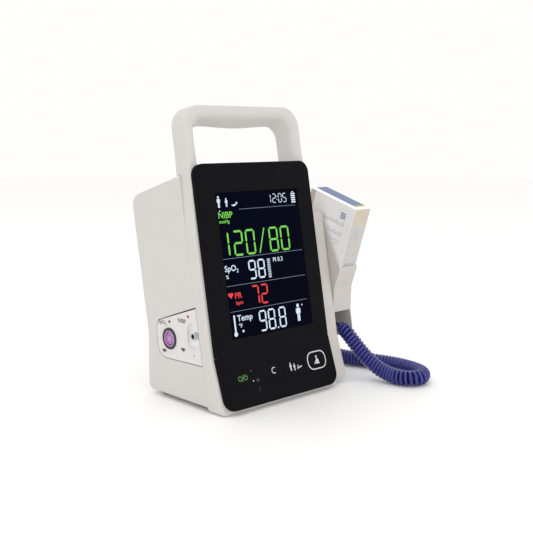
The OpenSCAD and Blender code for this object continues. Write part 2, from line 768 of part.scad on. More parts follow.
module probe_cord_boot() color("#2c3a92") probe_axes() difference() {
    translate([0, probe_r - 1.2, boot_v]) rotate([-90, 0, 0])
        cylinder(r1 = 4.4, r2 = 2.6, h = boot_len + 0.6);
    translate([0, 0, boot_v - 10]) cylinder(r = probe_r + 0.02, h = 20);
}

module cover_carton() color("#e9e6e0") carton_axes() difference() {
    block([0, 0, -carton_size.z], carton_size - [0, 0, carton_size.z]);
    block([carton_wall, carton_wall, carton_wall - carton_size.z],
        [carton_size.x - carton_wall, carton_size.y - carton_wall, -carton_wall]);
}

cover_pitch = [6.5, 7];
cover_r = 3.1;

module probe_covers() color("#f6f6f8") carton_axes() for (i = [-1:1], j = [-3.5:3.5])
    translate([carton_size.x / 2 + i * cover_pitch.x, carton_size.y / 2 + j * cover_pitch.y, 0])
        translate([0, 0, 1 - carton_size.z]) difference() {
            cylinder(r = cover_r, h = carton_size.z - 4, $fn = 24);
            translate([0, 0, over]) cylinder(r = cover_r - 0.4, h = carton_size.z, $fn = 24);
        }

socket_place = [97.5, 49.5];
plug_y = [20, 27, 37.8];

module socket_box(x_half, y0, y1, z_half) placed()
    block([socket_place.x - x_half, y0, socket_place.y - z_half],
        [socket_place.x + x_half, y1, socket_place.y + z_half]);

module cord_socket() color("#1c1c1e") difference() {
    socket_box(7.5, 33, notch_back_y, 7.5);
    socket_box(5, 32, 38, 5);
}

module cord_plug() color("#23306e") {
    socket_box(4.8, plug_y[1], plug_y[2], 4.8);
    placed() translate([socket_place.x, plug_y[0], socket_place.y]) rotate([-90, 0, 0])
        cylinder(r1 = 3, r2 = 4.6, h = plug_y[1] - plug_y[0] + 0.01);
}

// The middle line of the coiled cord: out of the socket, down to the table, round a loop and
// behind the module, then up to the probe
cord_route = [
    [97.5, 19.7, 49.5], [97.5, 14, 49.5], [98.5, 5, 43], [101, -4, 32.5], [105, -14, 21], [109, -25, 12],
    [111.5, -37, 8], [112, -50, 7.6], [117, -59, 7.6], [126, -62, 7.6], [136, -57, 7.6],
    [143, -46, 7.6], [146, -31, 7.6], [146, -14, 7.6], [142, 4, 7.6], [136, 20, 7.6], [132, 38, 7.6],
    [130, 56, 7.6], [129, 74, 7.6], [126, 92, 7.6], [120, 108, 8], [112, 120, 13], [106, 127, 26],
    [103, 132, 46], [101, 135, 70], [100, 137, 96], [99.4, 138, 122], [98.8, 138.5, 142],
    [98.6, 136.5, 152],
    [98.5, 132, 161], [98.5, 126.2, 164.3], [98.5, 120, 165.41],
];
coil_r = coil_od / 2;
wire_r = 1.7;

// Full radius along the coil, narrowing to the bare wire at both ends
function coil_radius(i, n) =
    let (from_end = min(i, n - 1 - i))
    from_end < 3 ? wire_r + 0.9 : from_end < 4 ? coil_r * 0.7 : coil_r;

module curly_cord() color("#3a2f9a") placed() {
    path = smooth(cord_route);
    tube(path, [for (i = [0:len(path) - 1]) coil_radius(i, len(path))], 10);
}

front_housing();
handle_back_cover();
rear_housing();
base_plate();
mounting_inserts();
rubber_feet();
screen_bezel();
bezel_gasket();
display_window();
keypad_panel();
power_key();
night_key();
patient_key();
start_stop_key();
key_mat();
key_board();
lcd_panel();
lcd_backlight();
lcd_frame();
board_spacers();
main_board();
board_screws();
chassis_plate();
power_supply();
mains_inlet();
data_ports();
battery_pack();
battery_contacts();
connector_panel();
spo2_ring();
spo2_insert();
spo2_pins();
hose_fitting();
spo2_board();
pump_body();
pump_rotor();
valve_block();
air_tubes();
speaker();
case_screws();
module_inner_case();
module_outer_case();
module_board();
module_screws();
probe_well();
probe_handle();
probe_shaft();
probe_eject_button();
probe_cord_boot();
cover_carton();
probe_covers();
cord_socket();
cord_plug();
curly_cord();
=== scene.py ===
"""A table-top patient monitor: visible shells, display, keys, connectors, carton and cord.

Sizes are millimetres in the monitor's own axes: x from the middle of the screen, y from the
crease between screen and keypad, z from the table. at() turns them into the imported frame.
"""
import json
import math

import bmesh
import bpy
from mathutils import Matrix, Vector


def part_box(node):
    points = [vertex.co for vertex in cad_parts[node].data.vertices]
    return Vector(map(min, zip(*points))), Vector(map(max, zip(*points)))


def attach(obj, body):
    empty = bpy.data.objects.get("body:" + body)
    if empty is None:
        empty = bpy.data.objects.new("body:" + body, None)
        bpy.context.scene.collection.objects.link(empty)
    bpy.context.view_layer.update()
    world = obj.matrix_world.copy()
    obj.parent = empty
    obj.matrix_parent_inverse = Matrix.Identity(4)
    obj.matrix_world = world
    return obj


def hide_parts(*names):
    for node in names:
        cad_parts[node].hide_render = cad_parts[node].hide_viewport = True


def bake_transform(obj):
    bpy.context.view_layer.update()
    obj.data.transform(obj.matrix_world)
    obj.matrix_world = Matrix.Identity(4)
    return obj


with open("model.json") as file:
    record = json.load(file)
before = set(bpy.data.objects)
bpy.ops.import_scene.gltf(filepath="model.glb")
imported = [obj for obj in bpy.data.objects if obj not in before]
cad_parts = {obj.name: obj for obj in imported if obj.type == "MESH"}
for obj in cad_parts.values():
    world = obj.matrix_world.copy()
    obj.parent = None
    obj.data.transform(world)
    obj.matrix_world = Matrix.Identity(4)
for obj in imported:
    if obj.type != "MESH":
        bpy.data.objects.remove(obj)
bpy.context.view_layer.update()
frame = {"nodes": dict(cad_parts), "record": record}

MM = 0.001
LEAN = math.radians(10.2)
KEY_LEAN = math.radians(18.6)
CREASE_Z = 47.8
FACE_D = 5.5
SEAM_D = 17
BACK_D = 24
REAR_D = 90
HALF_W = 70
SIDE_W = 85.5
OUTER_W = 111.5
WALL = 2.4

bezel_low, bezel_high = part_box("screen_bezel")
ORIGIN = Vector((
    (bezel_low.x + bezel_high.x) / 2,
    bezel_low.y - 0.5 * MM * math.sin(LEAN),
    0,
))


# ---- Places ----

def at(x, y, z):
    return ORIGIN + Vector((x, y, z)) * MM


def slope(lean, v, d):
    """(y, z) of the point v above the crease and d behind a slope."""
    return (
        d * math.cos(lean) + v * math.sin(lean),
        CREASE_Z + v * math.cos(lean) - d * math.sin(lean),
    )


def slope_y(lean, d, z):
    return (d + (z - CREASE_Z) * math.sin(lean)) / math.cos(lean)


def on_screen(x, v, d):
    return at(x, *slope(LEAN, v, d))


def on_keypad(x, v, d):
    return at(x, *slope(KEY_LEAN, v, d))


def on_side(y, z, x):
    return at(x, y, z)


def on_rear(x, z, y):
    return at(x, y, z)


SCREEN_UP = Vector((0, math.sin(LEAN), math.cos(LEAN)))
SCREEN_BACK = Vector((0, math.cos(LEAN), -math.sin(LEAN)))


def mix(a, b, share):
    return tuple(p + (q - p) * share for p, q in zip(a, b))


BEND = 20


def bent(v, d):
    """(y, z) on the front that follows the screen above the crease and the keypad below it."""
    mean = (LEAN + KEY_LEAN) / 2
    reach = d / math.cos((KEY_LEAN - LEAN) / 2)
    crease = (reach * math.cos(mean), CREASE_Z - reach * math.sin(mean))
    lean = LEAN if v > 0 else KEY_LEAN
    if abs(v) >= BEND:
        return slope(lean, v, d)
    return mix(crease, slope(lean, math.copysign(BEND, v), d), abs(v) / BEND)


def seam_point(v):
    """(y, z) on the seam plane, level with the front below the crease."""
    if v >= BEND:
        return slope(LEAN, v, SEAM_D)
    if v <= 0:
        z = bent(v, FACE_D)[1]
        return (slope_y(LEAN, SEAM_D, z), z)
    return mix(seam_point(0), slope(LEAN, BEND, SEAM_D), v / BEND)


def on_front(x, v, d):
    """A point of the front housing: d runs from the white face to the seam."""
    share = (d - FACE_D) / (SEAM_D - FACE_D)
    return at(x, *mix(bent(v, FACE_D), seam_point(v), share))


# ---- Outlines ----

def fillet(before, corner, after, radius, steps):
    if radius == 0:
        return [corner]
    a = (before - corner).normalized()
    b = (after - corner).normalized()
    half = a.angle(b) / 2
    middle = corner + (a + b).normalized() * radius / math.sin(half)
    start = corner + a * radius / math.tan(half) - middle
    end = corner + b * radius / math.tan(half) - middle
    turn = math.pi - 2 * half
    return [
        middle + (start * math.sin((1 - k / steps) * turn) + end * math.sin(k / steps * turn))
        / math.sin(turn)
        for k in range(steps + 1)
    ]


def rounded(corners, steps=8):
    """The outline through corners given as (a, b) or (a, b, radius)."""
    flat = [Vector(c[:2]) for c in corners]
    radii = [c[2] if len(c) > 2 else 0 for c in corners]
    points = []
    for i, corner in enumerate(flat):
        after = flat[(i + 1) % len(flat)]
        points += fillet(flat[i - 1], corner, after, radii[i], steps)
    return points


def mirrored(half):
    return half + [(-c[0],) + tuple(c[1:]) for c in reversed(half)]


def rectangle(a0, a1, b0, b1, radius=0):
    return rounded([(a0, b0, radius), (a1, b0, radius), (a1, b1, radius), (a0, b1, radius)])


def centred(a, b, width, height, radius=0):
    return rectangle(a - width / 2, a + width / 2, b - height / 2, b + height / 2, radius)


def circle(a, b, radius, sides=48):
    step = math.tau / sides
    return [
        Vector((a + radius * math.cos(k * step), b + radius * math.sin(k * step)))
        for k in range(sides)
    ]


def dense(points, step=6.0, count=None, sides_only=False):
    """The same outline with its long edges divided, into count parts where it is given.

    With sides_only an edge counts only as long as it rises, so level edges stay whole.
    """
    result = []
    for i, p in enumerate(points):
        edge = points[(i + 1) % len(points)] - p
        length = abs(edge.y) if sides_only else edge.length
        parts = max(1, round(length / step)) if count is None or length < step else count
        result += [p + edge * k / parts for k in range(parts)]
    return result


def area(points):
    return sum(p.x * q.y - q.x * p.y for p, q in zip(points, points[1:] + points[:1])) / 2


def inset(points, amount):
    """The outline moved inwards by amount, or outwards if it is negative."""
    if amount == 0:
        return points
    turn = 1 if area(points) > 0 else -1
    result = []
    for i, p in enumerate(points):
        before = (p - points[i - 1]).normalized()
        after = (points[(i + 1) % len(points)] - p).normalized()
        first = Vector((before.y, -before.x)) * turn
        second = Vector((after.y, -after.x)) * turn
        middle = (first + second).normalized()
        result.append(p - middle * amount / max(0.4, middle.dot(first)))
    return result


def clipped(points, low):
    """The part of an outline whose second coordinate is above low."""
    result = []
    for p, q in zip(points, points[1:] + points[:1]):
        if p.y >= low:
            result.append(p)
        if (p.y >= low) != (q.y >= low):
            result.append(p.lerp(q, (low - p.y) / (q.y - p.y)))
    return result


def roll(radius, steps=6):
    """(depth, inset) pairs of a quarter round, from the face to the side."""
    if radius == 0:
        return [(0, 0)]
    turns = [math.pi / 2 * k / steps for k in range(steps + 1)]
    return [(radius * (1 - math.cos(t)), radius * (1 - math.sin(t))) for t in turns]


# ---- Mesh pieces ----

SHARP = math.radians(32)


def new_piece(name, mesh):
    piece = bpy.data.objects.new(name, mesh)
    bpy.context.collection.objects.link(piece)
    return piece


def mesh_of(bm, name):
    bmesh.ops.recalc_face_normals(bm, faces=bm.faces)
    mesh = bpy.data.meshes.new(name)
    bm.to_mesh(mesh)
    bm.free()
    return mesh


def add_loft(bm, rings, ladder=False):
    """Skins rings of points and closes both ends; a ladder joins a mirrored ring's two halves."""
    loops = [[bm.verts.new(p) for p in ring] for ring in rings]
    count = len(loops[0])
    for low, high in zip(loops, loops[1:]):
        for i in range(count):
            j = (i + 1) % count
            bm.faces.new((low[i], low[j], high[j], high[i]))
    for loop in (loops[0], loops[-1]):
        if ladder:
            for i in range(count // 2 - 1):
                bm.faces.new((loop[i], loop[i + 1], loop[count - 2 - i], loop[count - 1 - i]))
        else:
            bm.faces.new(loop)


def loft(name, rings, ladder=False):
    bm = bmesh.new()
    add_loft(bm, rings, ladder)
    return new_piece(name, mesh_of(bm, name))


def slab_rings(outline, place, d0, d1, roll0=0, roll1=0):
    levels = [(d0 + depth, pull) for depth, pull in roll(roll0)]
    levels += [(d1 - depth, pull) for depth, pull in reversed(roll(roll1))]
    return [[place(p.x, p.y, d) for p in inset(outline, pull)] for d, pull in levels]


def slab(name, outline, place, d0, d1, roll0=0, roll1=0, ladder=False):
    """An outline thickened from depth d0 to d1, with its two rims rounded."""
    return loft(name, slab_rings(outline, place, d0, d1, roll0, roll1), ladder)


def cutter(outline, place, d0, d1):
    return slab("cut", outline, place, d0, d1)


def plates(name, outlines, place, d0, d1):
    """Thin closed prisms, one for each outline."""
    bm = bmesh.new()
    for outline in outlines:
        add_loft(bm, [[place(p[0], p[1], d) for p in outline] for d in (d0, d1)])
    return new_piece(name, mesh_of(bm, name))


def turned(name, profile, centre, axis, sides=48):
    """A solid of revolution; profile holds (distance along the axis, radius) in millimetres."""
    side = axis.orthogonal().normalized()
    other = axis.cross(side)
    rings = []
    for along, radius in profile:
        middle = centre + axis * along * MM
        steps = [math.tau * k / sides for k in range(sides)]
        rings.append([
            middle + (side * math.cos(t) + other * math.sin(t)) * radius * MM for t in steps
        ])
    return loft(name, rings)


def bake(piece):
    graph = bpy.context.evaluated_depsgraph_get()
    mesh = bpy.data.meshes.new_from_object(piece.evaluated_get(graph))
    piece.modifiers.clear()
    piece.data = mesh


def mend(mesh):
    """Joins points that a cut left a hair apart."""
    bm = bmesh.new()
    bm.from_mesh(mesh)
    bmesh.ops.remove_doubles(bm, verts=bm.verts, dist=0.003 * MM)
    bmesh.ops.dissolve_degenerate(bm, edges=bm.edges, dist=0.001 * MM)
    bm.to_mesh(mesh)
    bm.free()


def combine(piece, others, operation):
    """Boolean with each of the others, which are then deleted."""
    for other in others:
        change = piece.modifiers.new("combine", "BOOLEAN")
        change.operation = operation
        change.solver = "EXACT"
        change.object = other
    bake(piece)
    for other in others:
        bpy.data.objects.remove(other)
    mend(piece.data)
    return piece


def carve(piece, *cutters):
    return combine(piece, cutters, "DIFFERENCE")


def join(name, parts):
    """One piece from several, each keeping its own closed surfaces."""
    bm = bmesh.new()
    for part in parts:
        bm.from_mesh(part.data)
        bpy.data.objects.remove(part)
    return new_piece(name, mesh_of(bm, name))


def soften(piece, width, segments=2, angle=40, clamp=False):
    """Small rounds on the sharp edges."""
    edge = piece.modifiers.new("edge rounds", "BEVEL")
    edge.width = width * MM
    edge.segments = segments
    edge.limit_method = "ANGLE"
    edge.angle_limit = math.radians(angle)
    edge.use_clamp_overlap = clamp
    bake(piece)


def finish(piece, look, *nodes, body="monitor"):
    """Smooth shading, look, body and the CAD nodes that the piece stands for."""
    mesh = piece.data
    for polygon in mesh.polygons:
        polygon.use_smooth = True
    mesh.set_sharp_from_angle(angle=SHARP)
    weights = piece.modifiers.new("flat faces stay flat", "WEIGHTED_NORMAL")
    weights.keep_sharp = True
    mesh.materials.clear()
    mesh.materials.append(LOOKS[look])
    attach(piece, body)
    if nodes:
        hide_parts(*nodes)
    return piece


# ---- Materials ----

LOOKS = {}


def add_node(tree, kind, **inputs):
    node = tree.nodes.new(kind)
    for name, value in inputs.items():
        node.inputs[name.replace("_", " ")].default_value = value
    return node


def noise(tree, scale, detail=3.0, stretch=(1, 1, 1)):
    """Noise in the object's own space, with scale in features per metre."""
    place = tree.nodes.new("ShaderNodeTexCoord")
    mapping = tree.nodes.new("ShaderNodeMapping")
    mapping.inputs["Scale"].default_value = stretch
    tree.links.new(place.outputs["Object"], mapping.inputs["Vector"])
    pattern = add_node(tree, "ShaderNodeTexNoise", Scale=scale, Detail=detail)
    tree.links.new(mapping.outputs["Vector"], pattern.inputs["Vector"])
    return pattern.outputs["Fac"]


def ranged(tree, value, low, high):
    node = add_node(tree, "ShaderNodeMapRange")
    node.inputs["From Min"].default_value = 0.3
    node.inputs["From Max"].default_value = 0.7
    node.inputs["To Min"].default_value = low
    node.inputs["To Max"].default_value = high
    tree.links.new(value, node.inputs["Value"])
    return node.outputs["Result"]


def blended(tree, value, first, second):
    node = tree.nodes.new("ShaderNodeMix")
    node.data_type = "RGBA"
    node.inputs["A"].default_value = (*first, 1)
    node.inputs["B"].default_value = (*second, 1)
    tree.links.new(value, node.inputs["Factor"])
    return node.outputs["Result"]


def look(name, colour, roughness, spread=0.05, mottle=0.03, scale=60, grain=2600,
         depth=0.004, stretch=(1, 1, 1), second=None, **settings):
    """A principled material: mottled colour, uneven roughness and a fine surface grain.

    scale is the mottling's, and grain the surface's, in features per metre.
    """
    made = bpy.data.materials.new(name)
    made.use_nodes = True
    tree = made.node_tree
    shader = tree.nodes["Principled BSDF"]
    clouds = ranged(tree, noise(tree, scale, 4, stretch), 0, 1)
    darker = second or tuple(c * (1 - mottle) for c in colour)
    tree.links.new(blended(tree, clouds, darker, colour), shader.inputs["Base Color"])
    patch = noise(tree, scale * 4.3, 3, stretch)
    rough = ranged(tree, patch, roughness - spread, roughness + spread)
    tree.links.new(rough, shader.inputs["Roughness"])
    bump = add_node(tree, "ShaderNodeBump", Strength=0.6, Distance=depth * MM)
    tree.links.new(noise(tree, grain, 2, stretch), bump.inputs["Height"])
    tree.links.new(bump.outputs["Normal"], shader.inputs["Normal"])
    for key, value in settings.items():
        shader.inputs[key.replace("_", " ")].default_value = value
    LOOKS[name] = made
    return made


def glowing(name, colour, strength):
    """A lit display segment: even light with a faint cell-to-cell variation."""
    made = look(name, tuple(c * 0.3 for c in colour), 0.4, mottle=0.1, scale=400)
    tree = made.node_tree
    shader = tree.nodes["Principled BSDF"]
    cells = ranged(tree, noise(tree, 900, 2), 0, 1)
    dim = tuple(c * 0.82 for c in colour)
    tree.links.new(blended(tree, cells, dim, colour), shader.inputs["Emission Color"])
    shader.inputs["Emission Strength"].default_value = strength


PLASTIC = dict(grain=2400, depth=0.012, spread=0.04)
SATIN = dict(mottle=0.015, grain=3200, depth=0.006)
CARD = dict(grain=700, depth=0.03, stretch=(1, 1, 0.35))
CIRCUIT = dict(scale=320)


def metal(name, colour, roughness, mottle=0.2, **settings):
    look(name, colour, roughness, mottle=mottle, Metallic=1.0, **settings)


def make_shell_looks():
    look("housing", (0.63, 0.605, 0.585), 0.46, mottle=0.025, **PLASTIC)
    # module_housing is the housing's white plastic made darker: painted shade for the module's
    # faces, which turn away from the light
    look("module_housing", (0.59, 0.558, 0.53), 0.44, mottle=0.025, **PLASTIC)
    look("battery", (0.66, 0.64, 0.61), 0.5, mottle=0.03, **PLASTIC)
    look("panel", (0.70, 0.68, 0.665), 0.38, **SATIN)
    # The hose cup's colour is the panel's plastic made lighter: painted light that takes out the
    # shade inside the recess
    look("cup", (0.90, 0.90, 0.92), 0.38, **SATIN)
    look("dark_plastic", (0.014, 0.014, 0.016), 0.4, mottle=0.3, grain=2400, depth=0.012)


def make_block_looks():
    look("block", (0.0042, 0.0038, 0.0052), 0.5, mottle=0.25, grain=2800, depth=0.008,
         Specular_IOR_Level=0.06)
    look("keys", (0.0045, 0.0041, 0.0055), 0.46, mottle=0.25, grain=2600, depth=0.006,
         Specular_IOR_Level=0.06)
    look("window", (0.0003, 0.0012, 0.0080), 0.2, mottle=0.4, scale=14, depth=0.001,
         Specular_IOR_Level=0.02)


def make_soft_looks():
    look("rubber", (0.30, 0.29, 0.28), 0.72, mottle=0.3, grain=1800, depth=0.03)
    look("seal", (0.05, 0.05, 0.055), 0.85, mottle=0.35, grain=1500, depth=0.05)
    # panel_gap is painted shade: a dark grey for the ring behind the connector panel's gap, so
    # that the gap reads as a dark line
    look("panel_gap", (0.17, 0.165, 0.16), 0.8, mottle=0.3, grain=1500, depth=0.03)
    look("silicone", (0.42, 0.43, 0.45), 0.5, mottle=0.08, Subsurface_Weight=0.1)
    look("tubing", (0.55, 0.58, 0.6), 0.4, mottle=0.06, Subsurface_Weight=0.15)
    look("boot", (0.03, 0.03, 0.16), 0.45, mottle=0.15, grain=1800, depth=0.02)
    look("cord", (0.019, 0.023, 0.235), 0.30, second=(0.012, 0.014, 0.15), scale=150,
         grain=1500, depth=0.02, Coat_Weight=0.25, Coat_Roughness=0.2)


def make_inner_looks():
    look("board", (0.02, 0.16, 0.07), 0.35, second=(0.01, 0.09, 0.04), **CIRCUIT)
    look("supply", (0.02, 0.11, 0.2), 0.35, second=(0.01, 0.06, 0.12), **CIRCUIT)
    look("lcd", (0.03, 0.035, 0.06), 0.12, mottle=0.2, depth=0.001, Coat_Weight=0.5)
    look("diffuser", (0.78, 0.8, 0.84), 0.5, mottle=0.05)
    look("valves", (0.62, 0.6, 0.52), 0.45, mottle=0.06)
    look("well", (0.78, 0.78, 0.76), 0.25, mottle=0.04)


def make_metal_looks():
    metal("sheet_metal", (0.66, 0.67, 0.68), 0.36, 0.12, stretch=(1, 14, 14), grain=900)
    metal("screw", (0.55, 0.54, 0.53), 0.3, scale=240)
    metal("brass", (0.72, 0.52, 0.2), 0.28, scale=240)
    metal("contacts", (0.83, 0.62, 0.25), 0.2, 0.12, scale=400)
    metal("port_metal", (0.52, 0.53, 0.55), 0.32, 0.18, scale=200)
    metal("fitting", (0.62, 0.63, 0.66), 0.24, 0.25, scale=300)
    metal("pump", (0.45, 0.46, 0.48), 0.34, 0.15)
    metal("rotor", (0.5, 0.36, 0.24), 0.36)
    metal("probe_metal", (0.6, 0.6, 0.61), 0.16, 0.12, scale=300)


def make_probe_looks():
    look("spo2", (0.50, 0.26, 0.53), 0.34, mottle=0.14, scale=500, depth=0.01)
    look("probe", (0.035, 0.06, 0.34), 0.3, mottle=0.12, grain=2200, depth=0.01,
         Coat_Weight=0.2)
    look("button", (0.52, 0.54, 0.6), 0.4, mottle=0.06, depth=0.01)
    look("covers", (0.8, 0.8, 0.82), 0.3, mottle=0.05, Subsurface_Weight=0.2)


def make_carton_looks():
    # The card's near-white is partly its own colour and partly painted light: raised so that the
    # left face, which the housing shades, still reads brightly lit
    look("carton", (0.95, 0.945, 0.95), 0.6, mottle=0.04, **CARD)
    # carton_front is the same white board made darker, with a faint warm tint: painted shade on
    # the carton's front face
    look("carton_front", (0.60, 0.58, 0.555), 0.6, mottle=0.08, **CARD)
    look("carton_cream", (0.66, 0.58, 0.47), 0.62, mottle=0.12, **CARD)
    look("carton_blue", (0.17, 0.22, 0.38), 0.5, mottle=0.22, scale=90, **CARD)
    look("carton_olive", (0.42, 0.40, 0.18), 0.55, mottle=0.2, **CARD)
    look("carton_ink", (0.23, 0.25, 0.31), 0.6, mottle=0.2, **CARD)
    look("carton_pale_ink", (0.40, 0.41, 0.44), 0.6, mottle=0.2, **CARD)


def make_print_looks():
    look("print_dark", (0.03, 0.03, 0.035), 0.5, mottle=0.3)
    look("print_red", (0.45, 0.05, 0.04), 0.5, mottle=0.2)
    look("glyph_white", (0.62, 0.62, 0.66), 0.5, mottle=0.08, scale=500)
    look("glyph_green", (0.10, 0.30, 0.06), 0.5, mottle=0.15, scale=500)
    look("glyph_faint", (0.011, 0.011, 0.013), 0.5, mottle=0.2)


def make_lit_looks():
    glowing("lit_white", (0.62, 0.74, 0.86), 0.85)
    glowing("lit_green", (0.15, 0.60, 0.06), 0.85)
    glowing("lit_red", (0.78, 0.025, 0.03), 0.85)
    glowing("lit_line", (0.30, 0.36, 0.50), 0.35)


def make_floor_look():
    look("floor", (0.985, 0.982, 0.978), 0.6, mottle=0.01, scale=3, depth=0.001)


# ---- Camera, floor and light ----

def add_camera():
    data = bpy.data.cameras.new("camera")
    data.sensor_width = 36
    data.lens = 59.18
    camera = bpy.data.objects.new("camera", data)
    bpy.context.collection.objects.link(camera)
    camera.location = at(-516.7, -535.9, 230.4)
    turn = math.radians(43.292)
    drop = math.radians(8.625)
    aim = Vector((
        math.sin(turn) * math.cos(drop), math.cos(turn) * math.cos(drop), -math.sin(drop)))
    camera.rotation_euler = aim.to_track_quat("-Z", "Y").to_euler()
    bpy.context.scene.camera = camera


def add_floor(radius=4.0, thickness=0.02):
    """A round floor; its sizes are metres."""
    rings = [[Vector((p.x, p.y, z)) for p in circle(0, 0, radius, 96)] for z in (-thickness, 0)]
    floor = loft("floor", rings)
    floor.data.materials.append(LOOKS["floor"])


def add_area(name, place, aim, size, power):
    """A round soft lamp; place, aim and size are metres and power is watts."""
    data = bpy.data.lights.new(name, "AREA")
    data.shape = "DISK"
    data.size = size
    data.energy = power
    lamp = bpy.data.objects.new(name, data)
    bpy.context.collection.objects.link(lamp)
    lamp.location = place
    lamp.rotation_euler = (Vector(aim) - Vector(place)).to_track_quat("-Z", "Y").to_euler()


def add_lights():
    add_area("overhead", (-0.2, 0.1, 1.5), (0, 0, 0.1), size=1.6, power=4)
    add_area("front_fill", (-0.5, -1.3, 0.6), (0.06, 0, 0.12), size=0.8, power=1.5)


def add_white_surroundings():
    bpy.context.scene.view_settings.view_transform = "Standard"
    world = bpy.data.worlds.new("studio")
    world.use_nodes = True
    background = world.node_tree.nodes["Background"]
    background.inputs["Color"].default_value = (1, 0.995, 0.985, 1)
    background.inputs["Strength"].default_value = 1.0
    bpy.context.scene.world = world


# ---- Main housing ----

FRONT_HALF = [(70, -48.4, 5), (70, 110, 80), (67, 172, 80), (67, 211, 18)]
OPENING_LOW = 160.5
BAR_FRONT = 9.5
BAR_BACK = 16
GRIP_SWELL = 2.0
GRIP_REACH = 44


def opening_outline(d):
    """The finger opening at depth d: it narrows to the back, where the bar swells downwards."""
    share = (d - FACE_D) / (BACK_D - FACE_D)
    bar = BAR_FRONT + (BAR_BACK - BAR_FRONT) * share
    half = 67 - bar
    corners = mirrored([(half, OPENING_LOW, 3), (half, 211 - bar, 12)])
    points = dense(rounded(corners), 8.0, 14)
    for p in points:
        if p.y > OPENING_LOW + 20 and abs(p.x) < GRIP_REACH:
            p.y -= GRIP_SWELL * share * math.cos(math.pi / 2 * p.x / GRIP_REACH) ** 2
    return points


def opening_cutter(front_lip=4.5, back_lip=3.0):
    """The opening as a solid whose two ends flare, so that it leaves rounded lips."""
    levels = [(FACE_D - 1, front_lip)]
    levels += [(FACE_D + depth, pull) for depth, pull in roll(front_lip)]
    levels += [(BACK_D - depth, pull) for depth, pull in reversed(roll(back_lip))]
    levels += [(BACK_D + 1, back_lip)]
    rings = []
    for d, flare in levels:
        outline = opening_outline(min(max(d, FACE_D), BACK_D))
        flared = inset(outline, -flare)
        for p in flared:
            p.y = max(p.y, OPENING_LOW)
        rings.append([on_screen(p.x, p.y, d) for p in flared])
    return loft("opening cutter", rings)


def make_front_shell():
    outline = dense(rounded(mirrored(FRONT_HALF), 12), sides_only=True)
    shell = slab("front_shell", outline, on_front, FACE_D, SEAM_D, 2.2, 0.2, ladder=True)
    inner = rounded(mirrored([(67.4, -45.5, 10), (67.4, 150, 10)]))
    hollow = slab("hollow cutter", dense(inner, sides_only=True), on_front, FACE_D + 2.2,
                  SEAM_D + 1, ladder=True)
    carve(shell, opening_cutter(), hollow)
    finish(shell, "housing", "front_housing")


def make_handle_back():
    outline = clipped(dense(rounded(mirrored(FRONT_HALF), 12)), 154.1)
    cover = slab("handle_back", outline, on_screen, SEAM_D, BACK_D, 0.2, 1.4)
    carve(cover, opening_cutter())
    finish(cover, "housing", "handle_back_cover")


FOOT_Y = 93
BEND_Z = 56.4
INLET = (36, 43)
PORTS = (-33, 43)
SCREWS = [(x, v) for x in (-60, 60) for v in (60, 138)]
SCREW_BORE = 3.7


def leaning(corner, radius=0):
    return (*slope(LEAN, *corner), radius)


def slot_outline(x, v, width, height):
    return centred(x, v, width, height, height / 2 - 0.01)


def rear_cutters():
    """The hollow, the slope at the front and every opening of the rear shell."""
    inner = rounded([
        (slope_y(LEAN, SEAM_D - 9, 6.4), 6.4), (FOOT_Y - WALL, 6.4, 4),
        (FOOT_Y - WALL, BEND_Z, 18), leaning((143.4, REAR_D - WALL), 10),
        leaning((152.4, SEAM_D - 9)),
    ])
    inlet = rectangle(INLET[0] - 14.2, INLET[0] + 14.2, 32.8, 53.2)
    ports = rectangle(PORTS[0] - 22.2, PORTS[0] + 22.2, 35.3, 50.7)
    grilles = [slot_outline(-30, 108 + i * 4, 27 - abs(i) * 3, 1.8) for i in range(-3, 4)]
    grilles += [slot_outline(28, 92 + i * 6, 40, 2.4) for i in range(7)]
    grilles += [circle(x, v, SCREW_BORE) for x, v in SCREWS]
    return [
        cutter(inner, on_side, WALL - HALF_W, HALF_W - WALL),
        cutter(rectangle(-80, 80, -60, 170), on_screen, -30, SEAM_D),
        cutter(rectangle(-37, 37, 7, 31.2, 1), on_rear, FOOT_Y - 6, FOOT_Y + 2),
        cutter(inlet, on_rear, FOOT_Y - 4, FOOT_Y + 4),
        cutter(ports, on_rear, FOOT_Y - 4, FOOT_Y + 4),
        cutter(rectangle(-62.2, 62.2, 20.8, 85.2, 4), at, 3, 7.4),
        cutter(inset(panel_outline(), -0.35), on_side, -HALF_W - 1, WALL + 0.5 - HALF_W),
        plates("cut", grilles, on_screen, REAR_D - 6, REAR_D + 3),
    ]


def screw_sleeve(x, v):
    sleeve = slab("sleeve", circle(x, v, 5), on_screen, 36, REAR_D - 2)
    return carve(sleeve, cutter(circle(x, v, SCREW_BORE), on_screen, 35, REAR_D + 1))


def make_rear_shell():
    profile = rounded([
        (slope_y(LEAN, 10, 4), 4), (FOOT_Y, 4, 6), (FOOT_Y, BEND_Z, 20),
        leaning((145.8, REAR_D), 12), leaning((154.8, 10)),
    ])
    shell = slab("rear_shell", profile, on_side, -HALF_W, HALF_W, 2.2, 2.2)
    carve(shell, *rear_cutters())
    soften(shell, 0.35, angle=50)
    shell = join("rear_shell", [shell] + [screw_sleeve(x, v) for x, v in SCREWS])
    finish(shell, "housing", "rear_housing")


def make_feet():
    profile = [(0, 5.6), (0.4, 6.2), (1.1, 6.5), (3.0, 6.5), (3.6, 6.2), (4, 6.1)]
    feet = [
        turned("foot", profile, at(x, y, 0), Vector((0, 0, 1)))
        for x in (-57, 57) for y in (28, 79)
    ]
    finish(join("feet", feet), "rubber", "rubber_feet")


# ---- Black block and keys ----

BLOCK_HALF = 66.7
DISPLAY = (-48.1, 48.1, 12.7, 135.9)
CREASE_GAP = 0.08
KEYS = {
    "power": (-44.5, -21, 20, 15, 6),
    "night": (-9, -21, 20, 15, 6),
    "patient": (17.4, -21, 20, 15, 6),
    "start_stop": (44.3, -20.5, 24.4, 17.4, 7.4),
}


